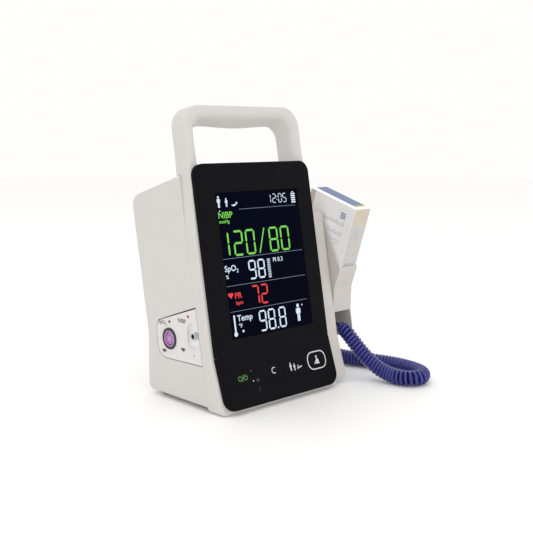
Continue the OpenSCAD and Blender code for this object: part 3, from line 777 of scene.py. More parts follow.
def make_bezel():
    upper = dense(rounded(mirrored([(BLOCK_HALF, -4), (BLOCK_HALF, 161, 10)])))
    bezel = slab("bezel", upper, on_screen, 0, FACE_D, 1.6)
    window = cutter(rectangle(*DISPLAY, 0.6), on_screen, -1, FACE_D + 1)
    below = cutter(rectangle(-80, 80, -20, CREASE_GAP), on_screen, -2, FACE_D + 2)
    carve(bezel, window, below)
    soften(bezel, 0.15, angle=60)
    finish(bezel, "block", "screen_bezel")


def make_keypad():
    lower = dense(rounded(mirrored([(BLOCK_HALF, -45.5, 11), (BLOCK_HALF, 4)])))
    keypad = slab("keypad", lower, on_keypad, 0, FACE_D, 1.6)
    holes = [inset(centred(*key), -0.14) for key in KEYS.values()]
    above = cutter(rectangle(-80, 80, -CREASE_GAP, 20), on_keypad, -2, FACE_D + 2)
    carve(keypad, plates("cut", holes, on_keypad, -1, FACE_D + 1), above)
    finish(keypad, "block", "keypad_panel")


def make_crease_strip():
    """A dark strip that closes the wedge between the bezel and the keypad."""
    rings = [
        [on_screen(-66, 0.06, d), on_screen(66, 0.06, d), on_keypad(66, -0.06, d),
         on_keypad(-66, -0.06, d)]
        for d in (0.5, 5.4)
    ]
    finish(loft("crease_strip", rings), "seal")


def make_keys():
    for name, key in KEYS.items():
        cap = slab(name + "_cap", centred(*key), on_keypad, 0.15, 4.2, 0.2)
        finish(cap, "keys", name + "_key", body=name + "_button")


def make_window():
    outline = inset(rectangle(*DISPLAY, 0.6), 0.1)
    window = slab("window", outline, on_screen, 0.3, 1.9, 0.1)
    finish(window, "window", "display_window")


# ---- Drawing on the display and keys ----

def bar(p, q, width):
    """A straight stroke as an outline."""
    p = Vector(p)
    q = Vector(q)
    along = (q - p).normalized()
    side = Vector((-along.y, along.x)) * width / 2
    return [p - side, q - side, q + side, p + side]


def arc_band(a, b, radius, width, start, end, steps=14):
    """A curved stroke; angles in degrees, anticlockwise from the right."""
    turns = [math.radians(start + (end - start) * k / steps) for k in range(steps + 1)]
    outer = radius + width / 2
    inner = radius - width / 2
    rim = [Vector((a + outer * math.cos(t), b + outer * math.sin(t))) for t in turns]
    return rim + [
        Vector((a + inner * math.cos(t), b + inner * math.sin(t))) for t in reversed(turns)]


SEGMENTS = {
    "a": ((0, 1), (1, 1)), "b": ((1, 1), (1, 0.5)), "c": ((1, 0.5), (1, 0)),
    "d": ((0, 0), (1, 0)), "e": ((0, 0.5), (0, 0)), "f": ((0, 1), (0, 0.5)),
    "g": ((0, 0.5), (1, 0.5)),
}
DIGITS = {
    "0": "abcdef", "1": "bc", "2": "abged", "3": "abgcd", "4": "fgbc", "5": "afgcd",
    "6": "afgedc", "7": "abc", "8": "abcdefg", "9": "abcdfg",
}


def digit(character, x, v, width, height, stroke, gap=0.3):
    """Pointed segments of one digit whose lower left corner is at x, v."""
    outlines = []
    half = stroke / 2
    for name in DIGITS[character]:
        ends = [
            Vector((x + half + a * (width - stroke), v + half + b * (height - stroke)))
            for a, b in SEGMENTS[name]
        ]
        along = (ends[1] - ends[0]).normalized()
        side = Vector((-along.y, along.x)) * half
        p = ends[0] + along * gap
        q = ends[1] - along * gap
        outlines.append([
            p, p + along * half - side, q - along * half - side,
            q, q - along * half + side, p + along * half + side,
        ])
    return outlines


def number(text, x, v, width, height, stroke, advance):
    """Digits, points, colons and slashes in a row."""
    outlines = []
    for character in text:
        if character in DIGITS:
            shift = -0.16 * width if character == "1" else 0
            outlines += digit(character, x + shift, v, width, height, stroke)
            x += advance
        elif character == ".":
            outlines.append(rectangle(x - 0.5, x - 0.5 + stroke, v, v + stroke))
            x += stroke + 0.9
        elif character == ":":
            for share in (0.3, 0.62):
                middle = v + height * share
                outlines.append(rectangle(x - 0.3, x - 0.3 + stroke, middle, middle + stroke))
            x += stroke + 1.0
        elif character == "/":
            low = (x + 1.2, v + 0.4)
            high = (x + 1.2 + width * 0.72, v + height)
            outlines.append(bar(low, high, stroke * 0.7))
            x += advance
    return outlines


def person(x, v, height, arms=True):
    """A simple standing figure whose feet are at x, v."""
    unit = height / 10
    outlines = [circle(x, v + 9 * unit, 1.05 * unit, 20)]
    outlines.append(centred(x, v + 5.95 * unit, 2.2 * unit, 3.5 * unit, 0.7 * unit))
    for side in (-1, 1):
        leg = x + side * 0.58 * unit
        outlines.append(centred(leg, v + 2.15 * unit, 0.96 * unit, 4.3 * unit))
        if arms:
            arm = x + side * 1.5 * unit
            outlines.append(
                centred(arm, v + 5.9 * unit, 0.6 * unit, 3 * unit, 0.25 * unit))
    return outlines


def heart(x, v, size):
    half = size / 2
    points = []
    for k in range(28):
        t = math.tau * k / 28
        a = 16 * math.sin(t) ** 3
        b = 13 * math.cos(t) - 5 * math.cos(2 * t) - 2 * math.cos(3 * t) - math.cos(4 * t)
        points.append(Vector((x + a * half / 16, v + b * half / 16)))
    return points


def lettering(name, words, origin, across, up):
    """Plain capitals and units as thin solids; words are (text, a, b, size)."""
    out = across.cross(up)
    bm = bmesh.new()
    for text, a, b, size in words:
        curve = bpy.data.curves.new("words", "FONT")
        curve.body = text
        curve.size = size * MM
        curve.extrude = 0.02 * MM
        curve.offset = 0.014 * size * MM
        curve.resolution_u = 3
        holder = bpy.data.objects.new("words", curve)
        bpy.context.collection.objects.link(holder)
        graph = bpy.context.evaluated_depsgraph_get()
        mesh = bpy.data.meshes.new_from_object(holder.evaluated_get(graph))
        axes = Matrix((across, up, out)).transposed().to_4x4()
        axes.translation = origin + (across * a + up * b) * MM
        mesh.transform(axes)
        bm.from_mesh(mesh)
        bpy.data.objects.remove(holder)
    bmesh.ops.remove_doubles(bm, verts=bm.verts, dist=0.001 * MM)
    return new_piece(name, mesh_of(bm, name))


def screen_words(name, words):
    return lettering(name, words, on_screen(0, 0, 0.24), Vector((1, 0, 0)), SCREEN_UP)


def show(name, outlines, look_name, words=()):
    """Lit figures just in front of the window."""
    parts = [plates(name + "_shapes", outlines, on_screen, 0.2, 0.28)]
    if words:
        parts.append(screen_words(name + "_words", words))
    finish(join(name, parts), look_name)


def battery_shape(x, v, width, height):
    cells = [centred(x, v + i * height / 5 + 0.65, width, 1.3, 0.3) for i in range(5)]
    return cells + [centred(x, v + height + 0.4, 2, 0.8)]


def lying_child(x, v):
    """A child lying on its back, its feet at x and its head to the right."""
    return [
        bar((x, v + 1.2), (x + 1.8, v + 0.6), 0.9),
        bar((x + 1.6, v + 0.7), (x + 4.6, v + 1.4), 1.5),
        circle(x + 5.6, v + 2.6, 1.0, 16),
    ]


def thermometer_shape(x, v, height):
    stem = rectangle(x - 0.85, x + 0.85, v + 3, v + height, 0.7)
    return [circle(x, v + 1.4, 2.0, 20), stem]


def show_pressure():
    green = number("120/80", -48.1, 81.6, 10.9, 21.8, 1.75, 13.8)
    show("reading_green", green, "lit_green",
         [("NIBP", -47.6, 114.4, 7.6), ("mmHg", -47.2, 110.2, 4.2)])


def status_row():
    """Patient types, clock and battery along the top of the display."""
    row = number("12:05", 11.2, 124.2, 4.4, 8.2, 0.7, 5.5) + person(-45.2, 123.4, 9.8)
    row.append(circle(-45.2, 120.6, 0.6, 16))
    return row + person(-36.8, 123.8, 7.4) + lying_child(-31.2, 123.8) + battery_shape(
        42.4, 123.2, 5.0, 9.4)


def saturation_row():
    bars = [rectangle(1.4, 4.8, 59.8 + i * 1.55, 60.6 + i * 1.55) for i in range(11)]
    return number("98", -20.9, 60.2, 8.5, 16.6, 1.5, 10.6) + bars


def temperature_row():
    row = number("98.8", -15.8, 14.6, 8.5, 18.2, 1.5, 10.5) + person(31.8, 17.2, 15.4)
    row += [circle(37.3, 31.2, 0.7, 16), circle(-35.2, 18.2, 1.1, 16)]
    return row + thermometer_shape(-43.6, 15.2, 17.6)


def show_white_figures():
    show("reading_white", status_row() + saturation_row() + temperature_row(), "lit_white", [
        ("SpO", -47.6, 69.6, 7.2), ("2", -34.6, 68.0, 4.6), ("%", -47.0, 63.6, 4.4),
        ("PI 0.3", 8.4, 72.8, 5.4), ("Temp", -40.4, 27.0, 7.4), ("°F", -39.6, 21.4, 4.8),
    ])


def show_pulse():
    red = number("72", -20.8, 38.0, 8.6, 17.2, 1.55, 10.4)
    red.append(heart(-44.4, 49.6, 5.6))
    show("reading_red", red, "lit_red", [("PR", -40.2, 46.2, 7.2), ("bpm", -39.6, 41.0, 4.6)])


def show_rules():
    rules = [
        (-23.6, 43.8, 121.0), (-48, 45.7, 80.2), (-47.5, 45.6, 57.3), (-46.6, 44.4, 35.6),
    ]
    show("rules", [rectangle(x0, x1, v - 0.18, v + 0.18) for x0, x1, v in rules], "lit_line")


def glyphs(name, outlines, look_name, body, lift=0.15):
    piece = plates(name, outlines, on_keypad, lift - 0.06, lift + 0.02)
    finish(piece, look_name, body=body)


def make_power_glyph():
    x, v = -44.9, -20.4
    glyphs("power_glyph", [
        arc_band(x - 3.0, v, 1.9, 0.6, 0, 359), bar((x - 1.0, v - 2.8), (x + 1.0, v + 2.8), 0.6),
        arc_band(x + 3.2, v, 1.9, 0.6, 125, 415), bar((x + 3.2, v + 0.4), (x + 3.2, v + 2.8), 0.6),
    ], "glyph_green", "power_button")


def make_night_glyph():
    moon = arc_band(-8.8, -20.2, 2.5, 0.75, 55, 305)
    glyphs("night_glyph", [moon], "glyph_white", "night_button")


def make_patient_glyph():
    patient = person(11.2, -24.4, 7.2) + person(15.6, -24.8, 6.2)
    patient += [bar((18.6, -23.6), (24.6, -22.4), 1.0), circle(20.2, -21.4, 0.8, 16)]
    glyphs("patient_glyph", patient, "glyph_white", "patient_button")


def make_start_glyph():
    x, v = KEYS["start_stop"][:2]
    skirt = [(-1.6, -3.4), (2.9, -3.4), (1.6, 1.4), (-0.9, 1.4)]
    glyphs("start_glyph", [
        circle(x, v + 3.1, 1.1, 20), [Vector((x + a, v + b)) for a, b in skirt],
        bar((x - 3.6, v - 3.2), (x - 1.3, v - 0.6), 0.9),
    ], "glyph_white", "start_stop_button")


def make_start_ring():
    x, v = KEYS["start_stop"][:2]
    ring = slab("start_ring", centred(x, v, 23.6, 16.6, 7.0), on_keypad, 0.09, 0.9, 0.1)
    carve(ring, cutter(centred(x, v, 21.4, 14.4, 6.0), on_keypad, -1, 2))
    finish(ring, "glyph_white", body="start_stop_button")


def make_status_marks():
    glyphs("status_lamp", [circle(-34.4, -24.6, 0.6, 16)], "glyph_white", "monitor", 0.0)
    faint = [heart(-34.7, -16.0, 2.6), rectangle(-31.0, -27.4, -26.0, -23.6, 0.4)]
    faint += person(-29.3, -34.6, 4.4, arms=False)
    glyphs("status_marks", faint, "glyph_faint", "monitor", 0.0)


# ---- Connector panel ----

SPO2 = (60.4, 55.1)
HOSE = (28.8, 61.9)
FACE_X = -HALF_W
INWARD = Vector((1, 0, 0))


def panel_outline():
    depth = SEAM_D + 0.3
    top_y = slope_y(LEAN, depth, 87)
    low_y = slope_y(LEAN, depth, 38.5)
    return rounded([
        (79.8, 67.9, 9), (top_y, 67.9 + 0.341 * (79.8 - top_y)),
        (low_y, 36.6 + 0.033 * (76.5 - low_y)), (76.5, 36.6, 12),
    ])


def stadium(grow):
    """The long round hole of the hose cup, grown all round."""
    width = 15 + 2 * grow
    return centred(*HOSE, width, 22 + 2 * grow, width / 2 - 0.1)


def stadium_loft(name, levels):
    """A solid along x; its levels are (depth behind the side face, growth)."""
    return loft(name, [
        [on_side(p.x, p.y, FACE_X + d) for p in stadium(grow)] for d, grow in levels
    ])


def side_slab(name, outline, d0, d1, roll0=0):
    return slab(name, outline, on_side, FACE_X + d0, FACE_X + d1, roll0)


def make_side_panel():
    panel = side_slab("side_panel", inset(panel_outline(), 0.25), 0, 2, 0.4)
    flare = [(-1, 0.9), (0, 0.9), (0.3, 0.35), (0.9, 0), (3, 0)]
    carve(panel, stadium_loft("cut", flare), side_slab("cut", circle(*SPO2, 7.4), -1, 3))
    finish(panel, "panel", "connector_panel")


def make_hose_cup():
    levels = [(4.8, -1.2), (4.4, -0.35), (3.6, 0), (1.9, 0), (1.9, 1.1), (6, 1.1)]
    cup = carve(stadium_loft("hose_cup", levels), side_slab("cut", circle(*HOSE, 3.25), -10, 20))
    # The lighter cup look is painted light against the shade in the recess
    finish(cup, "cup")


def make_panel_gap_shade():
    # A dark grey ring sitting behind the gap round the connector panel: painted shade that makes
    # the gap read as a dark line
    seal = side_slab("panel_gap_shade", inset(panel_outline(), -0.3), 0.7, 2.2)
    carve(seal, side_slab("cut", inset(panel_outline(), 0.4), -1, 4))
    finish(seal, "panel_gap")


def close_inner(piece):
    """Turns a revolved open channel into a ring: the two end caps go and their rims join."""
    bm = bmesh.new()
    bm.from_mesh(piece.data)
    caps = [f for f in bm.faces if len(f.verts) > 8]
    bmesh.ops.delete(bm, geom=caps, context="FACES_ONLY")
    edges = [e for e in bm.edges if e.is_boundary]
    bmesh.ops.bridge_loops(bm, edges=edges)
    piece.data = mesh_of(bm, piece.name)


def make_sensor_ring():
    ring = turned("sensor_ring", [
        (1.9, 7.45), (0, 7.45), (-0.75, 7.45), (-1, 7.75), (-1, 9.0), (-0.8, 9.4), (0, 9.6),
        (1.9, 9.6),
    ], on_side(*SPO2, FACE_X), INWARD)
    close_inner(ring)
    finish(ring, "dark_plastic", "spo2_ring")


def make_sensor_socket():
    face = on_side(*SPO2, FACE_X)
    insert = turned("sensor_face", [
        (10, 7.2), (5.5, 7.2), (5.5, 8.9), (4, 8.9), (4, 7.2), (-0.5, 7.2), (-0.8, 6.9),
        (-0.8, 6.2), (-0.5, 6.0), (1.6, 6.0),
    ], face, INWARD)
    core = turned("sensor_core", [(9, 4.9), (0.2, 4.9), (-0.2, 4.6)], face, INWARD)
    y, z = SPO2
    turns = [k * math.tau / 8 for k in range(8)]
    holes = [circle(y + 3.1 * math.cos(t), z + 3.1 * math.sin(t), 0.75, 16) for t in turns]
    carve(core, plates("cut", holes, on_side, FACE_X - 1, FACE_X + 4))
    key = side_slab("key", rectangle(y - 0.9, y + 0.9, z + 4.2, z + 6.4), 0, 6)
    finish(join("sensor_socket", [insert, core, key]), "spo2", "spo2_insert")


def make_hose_nipple():
    nipple = turned("hose_nipple", [
        (12.9, 2.0), (0.4, 2.0), (0, 2.3), (0, 2.9), (0.4, 3.2), (1.2, 3.2), (1.5, 2.9),
        (2.3, 2.9), (2.6, 3.2), (6, 3.2), (6, 5.0), (7.4, 5.0), (7.4, 3.2), (13, 3.2),
    ], on_side(*HOSE, FACE_X), INWARD)
    close_inner(nipple)
    finish(nipple, "fitting", "hose_fitting")


def applied_part(y, z):
    """The round mark of a patient connection: a heart between two paddles."""
    return [heart(y, z, 4.2)] + [centred(y + side * 2.6, z, 0.6, 2.6) for side in (-1, 1)]


def make_panel_print():
    names = [("SpO", -76.0, 66.6, 5.2), ("2", -66.2, 65.8, 3.4), ("NIBP", -48.6, 71.6, 5.2)]
    words = lettering("panel_words", names, on_side(0, 0, FACE_X - 0.01), Vector((0, -1, 0)),
                      Vector((0, 0, 1)))
    marks = [heart(60.4, 69.9, 3.4), *applied_part(68.2, 43.2), *applied_part(41.6, 48.6)]
    shapes = plates("panel_shapes", marks, on_side, FACE_X - 0.03, FACE_X + 0.1)
    finish(join("panel_print", [words, shapes]), "print_dark")


def make_panel_red_mark():
    marks = [heart(34.5, 78.2, 3.6), circle(27, 46, 0.7)]
    piece = plates("panel_red_mark", marks, on_side, FACE_X - 0.03, FACE_X + 0.1)
    finish(piece, "print_red")


# ---- Rear wall ----

def rear_slab(name, outline, d0, d1, roll0=0, roll1=0):
    """A slab at the rear wall; depths run outwards from its face."""
    return slab(name, outline, on_rear, FOOT_Y + d0, FOOT_Y + d1, roll0, roll1)


def make_mains_inlet():
    x, z = INLET
    inlet = rear_slab("inlet", centred(x, z, 32, 24, 2), 0, 2, 0, 0.6)
    combine(inlet, [rear_slab("skirt", centred(x, z, 27.8, 19.8, 1), -17, 0.5)], "UNION")
    socket = rounded([
        (x - 12, z - 8, 1), (x + 12, z - 8, 1), (x + 12, z + 4, 1), (x + 8, z + 8, 1),
        (x - 8, z + 8, 1), (x - 12, z + 4, 1),
    ])
    carve(inlet, rear_slab("cut", socket, -15, 4))
    soften(inlet, 0.25, angle=50)
    finish(inlet, "dark_plastic", "mains_inlet")


def make_inlet_blades():
    x, z = INLET
    feet = ((-7, -3.5), (0, 1), (7, -3.5))
    pins = [centred(x + dx, z + dz + 2.25, 2, 4.5, 0.3) for dx, dz in feet]
    blades = plates("inlet_blades", pins, on_rear, FOOT_Y - 15.4, FOOT_Y - 3.5)
    finish(blades, "port_metal")


def make_data_ports():
    x, z = PORTS
    plate = rear_slab("ports", centred(x, z, 44, 15, 1), -1.6, -0.2, 0, 0.3)
    shells = [
        rear_slab("shell", centred(x + dx, z, width, height, 0.4), -14.5, 0.5, 0, 0.2)
        for dx, width, height in ((-12, 16, 13.6), (11, 14, 7))
    ]
    combine(plate, shells, "UNION")
    jack = rounded([
        (x - 18, z - 4.75), (x - 6, z - 4.75), (x - 6, z + 1.4), (x - 9, z + 1.4),
        (x - 9, z + 3.75), (x - 15, z + 3.75), (x - 15, z + 1.4), (x - 18, z + 1.4),
    ])
    usb = centred(x + 11, z, 12.4, 5.2, 0.3)
    carve(plate, plates("cut", [jack, usb], on_rear, FOOT_Y - 12.5, FOOT_Y + 2))
    soften(plate, 0.15, angle=50)
    finish(plate, "port_metal", "data_ports")


def make_usb_tongue():
    outline = centred(PORTS[0] + 11, PORTS[1] + 1.1, 10.8, 1.8, 0.2)
    tongue = rear_slab("usb_tongue", outline, -12.6, -1.5, 0, 0.2)
    finish(tongue, "dark_plastic")


def make_battery():
    case = rear_slab("battery_case", rectangle(-35.5, 35.5, 9, 30, 1.5), -49, -2, 0.8)
    cover = rear_slab("battery_cover", rectangle(-36.7, 36.7, 7.3, 30.9, 1), -2.4, 0, 0.2, 0.5)
    grip = rear_slab("battery_grip", rectangle(-14, 14, 13, 17, 1.9), -0.3, 2, 0, 0.9)
    combine(cover, [case, grip], "UNION")
    finish(cover, "battery", "battery_pack", body="battery")


# ---- Temperature module ----

MODULE_Y = 89
MODULE_SCREWS = [(48, 44), (72.4, 128), (34, 71)]
CARTON = (21.4, 58, 92)
CARTON_X = 88
CARTON_Y = -12.1
CARTON_Z = 162
CARTON_TILT = math.radians(17.6)
PROBE_X = 98.5
PROBE_D = 74.5
PROBE_BASE = on_screen(PROBE_X, 0, PROBE_D)


def on_carton(x, back, up):
    """x and back from the carton's front left edge, up from its top."""
    y = CARTON_Y + back * math.cos(CARTON_TILT) - up * math.sin(CARTON_TILT)
    z = CARTON_Z + back * math.sin(CARTON_TILT) + up * math.cos(CARTON_TILT)
    return at(CARTON_X + x, y, z)


def carton_side(back, up, x):
    return on_carton(x, back, up)


def carton_front(x, up, back):
    return on_carton(x, back, up)


def make_inner_case():
    profile = rounded([
        leaning((113.5, 6), 3), leaning((105, 86), 10), (MODULE_Y, BEND_Z, 20), (MODULE_Y, 4, 8),
        (slope_y(KEY_LEAN, 6, 4), 4, 3), (*bent(0, 6), 30),
    ])
    case = slab("inner_case", dense(profile, 8), on_side, HALF_W + 0.1, SIDE_W, 0, 2.4)
    corner = rounded([
        (60, -60), (60, 130), (SIDE_W + 1, 130), (SIDE_W, 100), (SIDE_W, -46, 14),
        (HALF_W, -46), (HALF_W, -60),
    ])
    combine(case, [slab("keep", corner, on_screen, -20, 110)], "INTERSECT")
    # The darker module_housing colour is painted shade on the module's case
    finish(case, "module_housing", "module_inner_case")


def outer_cutters(gap=0.4):
    """The carton's pocket, the open front below it, the probe's well and the screw holes."""
    pocket = rectangle(-gap, CARTON[0] + gap, -gap, CARTON[1] + gap)
    screws = [circle(y, z, 3.1) for y, z in MODULE_SCREWS]
    return [
        cutter(pocket, on_carton, -CARTON[2] - gap, 60),
        cutter(rectangle(-10, 40, 20, 63.5, 0.5), on_side, SIDE_W + 2, OUTER_W - 2),
        along_probe("cut", [(70, 9.35), (140, 9.35)]),
        plates("cut", screws, on_side, OUTER_W - 3, OUTER_W + 1),
    ]


def make_outer_case():
    profile = rounded([
        (7, 35.5, 2.4), (11.5, 63.5, 4), (10.5, 87, 12), (4, 105, 2.4), (25, 151, 2.4),
        leaning((105, 86), 10), (MODULE_Y, BEND_Z, 20), (MODULE_Y, 35.5, 10),
    ])
    case = slab("outer_case", dense(profile, 8), on_side, SIDE_W + 0.05, OUTER_W, 0.3, 2.2)
    carve(case, *outer_cutters())
    soften(case, 0.4, angle=38, clamp=True)
    # The darker module_housing colour is painted shade on the module's case
    finish(case, "module_housing", "module_outer_case")


# ---- Carton of probe covers ----

SUNK = -0.05
PROUD = 0.08


def print_on(name, outlines, place, look_name, lift=PROUD):
    """Flat print on the carton, a hair proud of its board."""
    if place is on_carton:
        piece = plates(name, outlines, place, SUNK, lift)
    else:
        piece = plates(name, outlines, place, -lift, -SUNK)
    finish(piece, look_name, body="carton")


def make_carton_box():
    outline = rectangle(0, CARTON[0], 0, CARTON[1], 0.5)
    box = slab("carton_box", outline, on_carton, -CARTON[2], 0, 0.3, 0.4)
    # The near-white board colour is partly painted light for the left face that the housing shades
    finish(box, "carton", "cover_carton", body="carton")


def make_carton_panels():
    blue = rectangle(6.2, 21.1, 9.5, 57.7, 0.3)
    olive = rectangle(6.2, 21.1, 6.0, 9.5, 0.2)
    front = rectangle(0.3, 21.1, -91.6, -16.6, 0.2)
    print_on("carton_blue_panel", [blue], on_carton, "carton_blue")
    print_on("carton_olive_band", [olive], on_carton, "carton_olive")
    # The front panel's darker board is painted shade on the carton's front face
    print_on("carton_front_panel", [front], carton_front, "carton_front", 0.05)


def make_carton_bands():
    front = rectangle(0.3, 21.1, -16.5, -0.4, 0.2)
    rear = rectangle(51.6, 57.7, -91, -0.4, 0.2)
    bands = [
        plates("front_band", [front], carton_front, -PROUD, -SUNK),
        plates("rear_band", [rear], carton_side, -PROUD, -SUNK),
    ]
    finish(join("carton_bands", bands), "carton_cream", body="carton")


def make_carton_emblem():
    emblem = [
        centred(10 + 2.2 * i, -8.8 - 2.2 * k, 1.6, 1.6, 0.3) for i in range(3) for k in range(3)
    ]
    print_on("carton_emblem", emblem, carton_side, "carton_blue")


def greeked(start, end, low, height):
    """A line of strokes that stands for a word and says nothing."""
    strokes = []
    back = start
    index = 0
    while back < end:
        tall = height if index % 3 == 0 else height * 0.62
        strokes.append(bar((back, low), (back + 0.15 * height, low + tall), 0.45))
        strokes.append(bar((back, low + 0.25), (back + 0.42 * height, low + 0.25), 0.45))
        back += 0.42 * height + 1.0
        index += 1
    return strokes


def make_carton_print():
    count = [arc_band(12.6, -49.0, 1.7, 0.8, 0, 359), rectangle(15.6, 16.6, -51.0, -47.0)]
    print_on("carton_count", count, carton_side, "carton_ink")
    lines = greeked(9, 41, -20.4, 4.4) + greeked(10, 28, -30.0, 3.8)
    lines += greeked(11, 25, -36.4, 1.3) + greeked(11, 24, -39.6, 1.3)
    print_on("carton_small_print", lines, carton_side, "carton_pale_ink")
    foot = [centred(5.3 + 2.3 * i, -56.4, 1.4, 3.6, 0.3) for i in range(6)]
    foot += [rectangle(12.5, 13.3, -47.0, -44.0), rectangle(9.8, 10.6, -29.0, -22.0)]
    print_on("carton_front_print", foot, carton_front, "carton_pale_ink")


# ---- Thermometer probe ----

def along_probe(name, profile):
    return turned(name, profile, PROBE_BASE, SCREEN_UP)


def grip_groove(along):
    groove = along_probe("cut", [
        (along, 12), (along, 7.8), (along + 0.6, 7.6), (along + 1.2, 7.8), (along + 1.2, 12),
    ])
    close_inner(groove)
    return groove


def make_probe_handle():
    handle = along_probe("probe_grip", [
        (79, 2.7), (78.6, 8.0), (79.2, 8.8), (80, 9), (98, 9), (104, 8.3), (116, 8.3),
        (122, 9), (142, 9), (144.6, 8.4), (146, 7.0), (146, 5.35), (137, 5.3),
    ])
    carve(handle, *[grip_groove(105.0 + 3 * i) for i in range(4)])
    finish(handle, "probe", "probe_handle", body="probe")


def make_probe_rod():
    rod = along_probe("probe_rod", [
        (11.4, 0.4), (11.6, 1.2), (12.3, 2.0), (13.6, 2.5), (15, 2.6), (98, 2.6),
    ])
    finish(rod, "probe_metal", "probe_shaft", body="probe")


def make_eject_cap():
    cap = along_probe("eject_cap", [
        (140.4, 5.0), (148.6, 5.0), (149.2, 4.7), (149.5, 4.0), (149.3, 1.5),
    ])
    finish(cap, "button", "probe_eject_button", body="probe_button")


def make_probe_boot():
    profile = [(0, 4.3)]
    for i in range(5):
        along = 2.4 + i * 2.3
        radius = 4.3 - i * 0.32
        profile += [(along - 0.5, radius), (along - 0.2, radius - 0.5),
                    (along + 0.3, radius - 0.5), (along + 0.6, radius - 0.1)]
    profile += [(13.9, 2.6), (14.5, 2.4)]
    boot = turned("probe_boot", profile, on_screen(PROBE_X, 137, PROBE_D + 7.8), SCREEN_BACK)
    finish(boot, "boot", "probe_cord_boot", body="probe")


# ---- Cord ----

CORD_ROUTE = [
    (97.5, 19.7, 49.5), (97.5, 14, 49.5), (98.5, 5, 43), (101, -4, 32.5), (105, -14, 21),
    (109, -25, 12), (111.5, -37, 8), (112, -50, 7.6), (117, -59, 7.6), (126, -62, 7.6),
    (136, -57, 7.6), (143, -46, 7.6), (146, -31, 7.6), (146, -14, 7.6), (142, 4, 7.6),
    (136, 20, 7.6), (132, 38, 7.6), (130, 56, 7.6), (129, 74, 7.6), (126, 92, 7.6),
    (120, 108, 8), (112, 120, 13), (106, 127, 26), (103, 132, 46), (101, 135, 70),
    (100, 137, 96), (99.4, 138, 122), (98.8, 138.5, 142), (98.6, 136.5, 152),
    (98.5, 132, 161), (98.5, 126.2, 164.3), (98.5, 120, 165.41),
]
WIRE_R = 1.75
COIL_R = 7.3
TIGHT_PITCH = 3.6
LOOSE_PITCH = 13.0
STRAIGHT = 3.0
COIL_GROWTH = 9
HANGING = 190
STRETCH = 60
TURN_POINTS = 16
PLUG = (97.5, 49.5)


def cut_corners(points):
    """The line with each inner corner replaced by points a quarter of the way along its sides."""
    result = [points[0]]
    for p, q in zip(points, points[1:]):
        result += [p.lerp(q, 0.25), p.lerp(q, 0.75)]
    return result + [points[-1]]


def spline(points, steps=6):
    """A smooth curve through the points."""
    line = [points[0]] + points + [points[-1]]
    result = []
    for i in range(1, len(line) - 2):
        p0, p1, p2, p3 = line[i - 1:i + 3]
        for k in range(steps):
            t = k / steps
            result.append(0.5 * (
                2 * p1 + (p2 - p0) * t + (2 * p0 - 5 * p1 + 4 * p2 - p3) * t * t
                + (3 * p1 - p0 - 3 * p2 + p3) * t ** 3))
    return result + [points[-1]]


def smooth_step(share):
    share = min(1.0, max(0.0, share))
    return share * share * (3 - 2 * share)


def helix(route):
    """The wire's middle line: tight on the table, stretched where the cord hangs."""
    line = spline(cut_corners([Vector(p) for p in route]))
    travelled = [0.0]
    for p, q in zip(line, line[1:]):
        travelled.append(travelled[-1] + (q - p).length)
    total = travelled[-1]
    side = Vector((1, 0, 0))
    points = []
    angle = 0.0
    place = 0.0
    i = 0
    while place < total:
        while travelled[i + 1] < place:
            i += 1
        share = (place - travelled[i]) / (travelled[i + 1] - travelled[i])
        middle = line[i].lerp(line[i + 1], share)
        along = (line[i + 1] - line[i]).normalized()
        side = (side - along * side.dot(along)).normalized()
        other = along.cross(side)
        grow = min(place, total - place)
        radius = (COIL_R - WIRE_R) * smooth_step((grow - STRAIGHT) / COIL_GROWTH)
        points.append(middle + (side * math.cos(angle) + other * math.sin(angle)) * radius)
        loose = smooth_step((place - total + HANGING) / STRETCH)
        pitch = TIGHT_PITCH + (LOOSE_PITCH - TIGHT_PITCH) * loose
        angle += math.tau / TURN_POINTS
        place += pitch / TURN_POINTS
    points.append(line[-1])
    return [at(*p) for p in points]


def wire_rings(path, sides=8):
    rings = []
    side = Vector((0, 0, 1))
    turns = [math.tau * k / sides for k in range(sides)]
    for i, p in enumerate(path):
        along = (path[min(i + 1, len(path) - 1)] - path[max(i - 1, 0)]).normalized()
        side = (side - along * side.dot(along)).normalized()
        other = along.cross(side)
        rings.append([
            p + (side * math.cos(t) + other * math.sin(t)) * WIRE_R * MM for t in turns])
    return rings


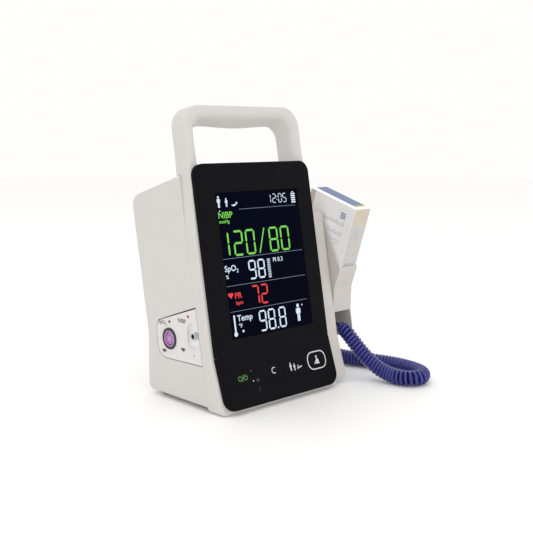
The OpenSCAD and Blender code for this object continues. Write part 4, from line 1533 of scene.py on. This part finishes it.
def make_cord():
    path = helix(CORD_ROUTE)
    cord = loft("coiled_cord", wire_rings(path))
    for polygon in cord.data.polygons:
        polygon.use_smooth = True
    cord.data.materials.append(LOOKS["cord"])
    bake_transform(cord)
    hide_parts("curly_cord")
    make_plug()


def make_plug():
    x, z = PLUG
    body = slab("plug_body", centred(x, z, 9.6, 9.6, 1.2), on_rear, 27, 37.8, 1.0, 0.2)
    profile = [(20, 2.6), (20.6, 3.1), (22, 3.3), (22.4, 2.9), (23, 2.9), (23.4, 3.8),
               (24.6, 3.9), (25, 3.4), (25.6, 3.4), (26, 4.4), (28, 4.6)]
    relief = turned("relief", profile, at(x, 0, z), Vector((0, 1, 0)))
    plug = join("cord_plug_piece", [body, relief])
    return finish(plug, "boot", "cord_plug")


# ---- Materials of the CAD nodes that stay ----

def dress_nodes():
    slots = {entry["node"]: entry["material_slot"] for entry in frame["record"]["subparts"]}
    for name, node in frame["nodes"].items():
        node.data.materials.clear()
        node.data.materials.append(LOOKS[slots[name]])


# ---- Everything in its order: looks, camera, cord, then the rest ----

for make in (
    make_shell_looks, make_block_looks, make_soft_looks, make_inner_looks, make_metal_looks,
    make_probe_looks, make_carton_looks, make_print_looks, make_lit_looks, make_floor_look,
    add_camera, make_cord, add_floor, add_lights, add_white_surroundings,
    make_front_shell, make_handle_back, make_rear_shell, make_feet,
    make_bezel, make_keypad, make_crease_strip, make_keys, make_window,
    show_pressure, show_white_figures, show_pulse, show_rules,
    make_power_glyph, make_night_glyph, make_patient_glyph, make_start_glyph, make_start_ring,
    make_status_marks,
    make_side_panel, make_hose_cup, make_panel_gap_shade, make_sensor_ring, make_sensor_socket,
    make_hose_nipple, make_panel_print, make_panel_red_mark,
    make_mains_inlet, make_inlet_blades, make_data_ports, make_usb_tongue, make_battery,
    make_inner_case, make_outer_case,
    make_carton_box, make_carton_panels, make_carton_bands, make_carton_emblem,
    make_carton_print,
    make_probe_handle, make_probe_rod, make_eject_cap, make_probe_boot,
    dress_nodes,
):
    make()
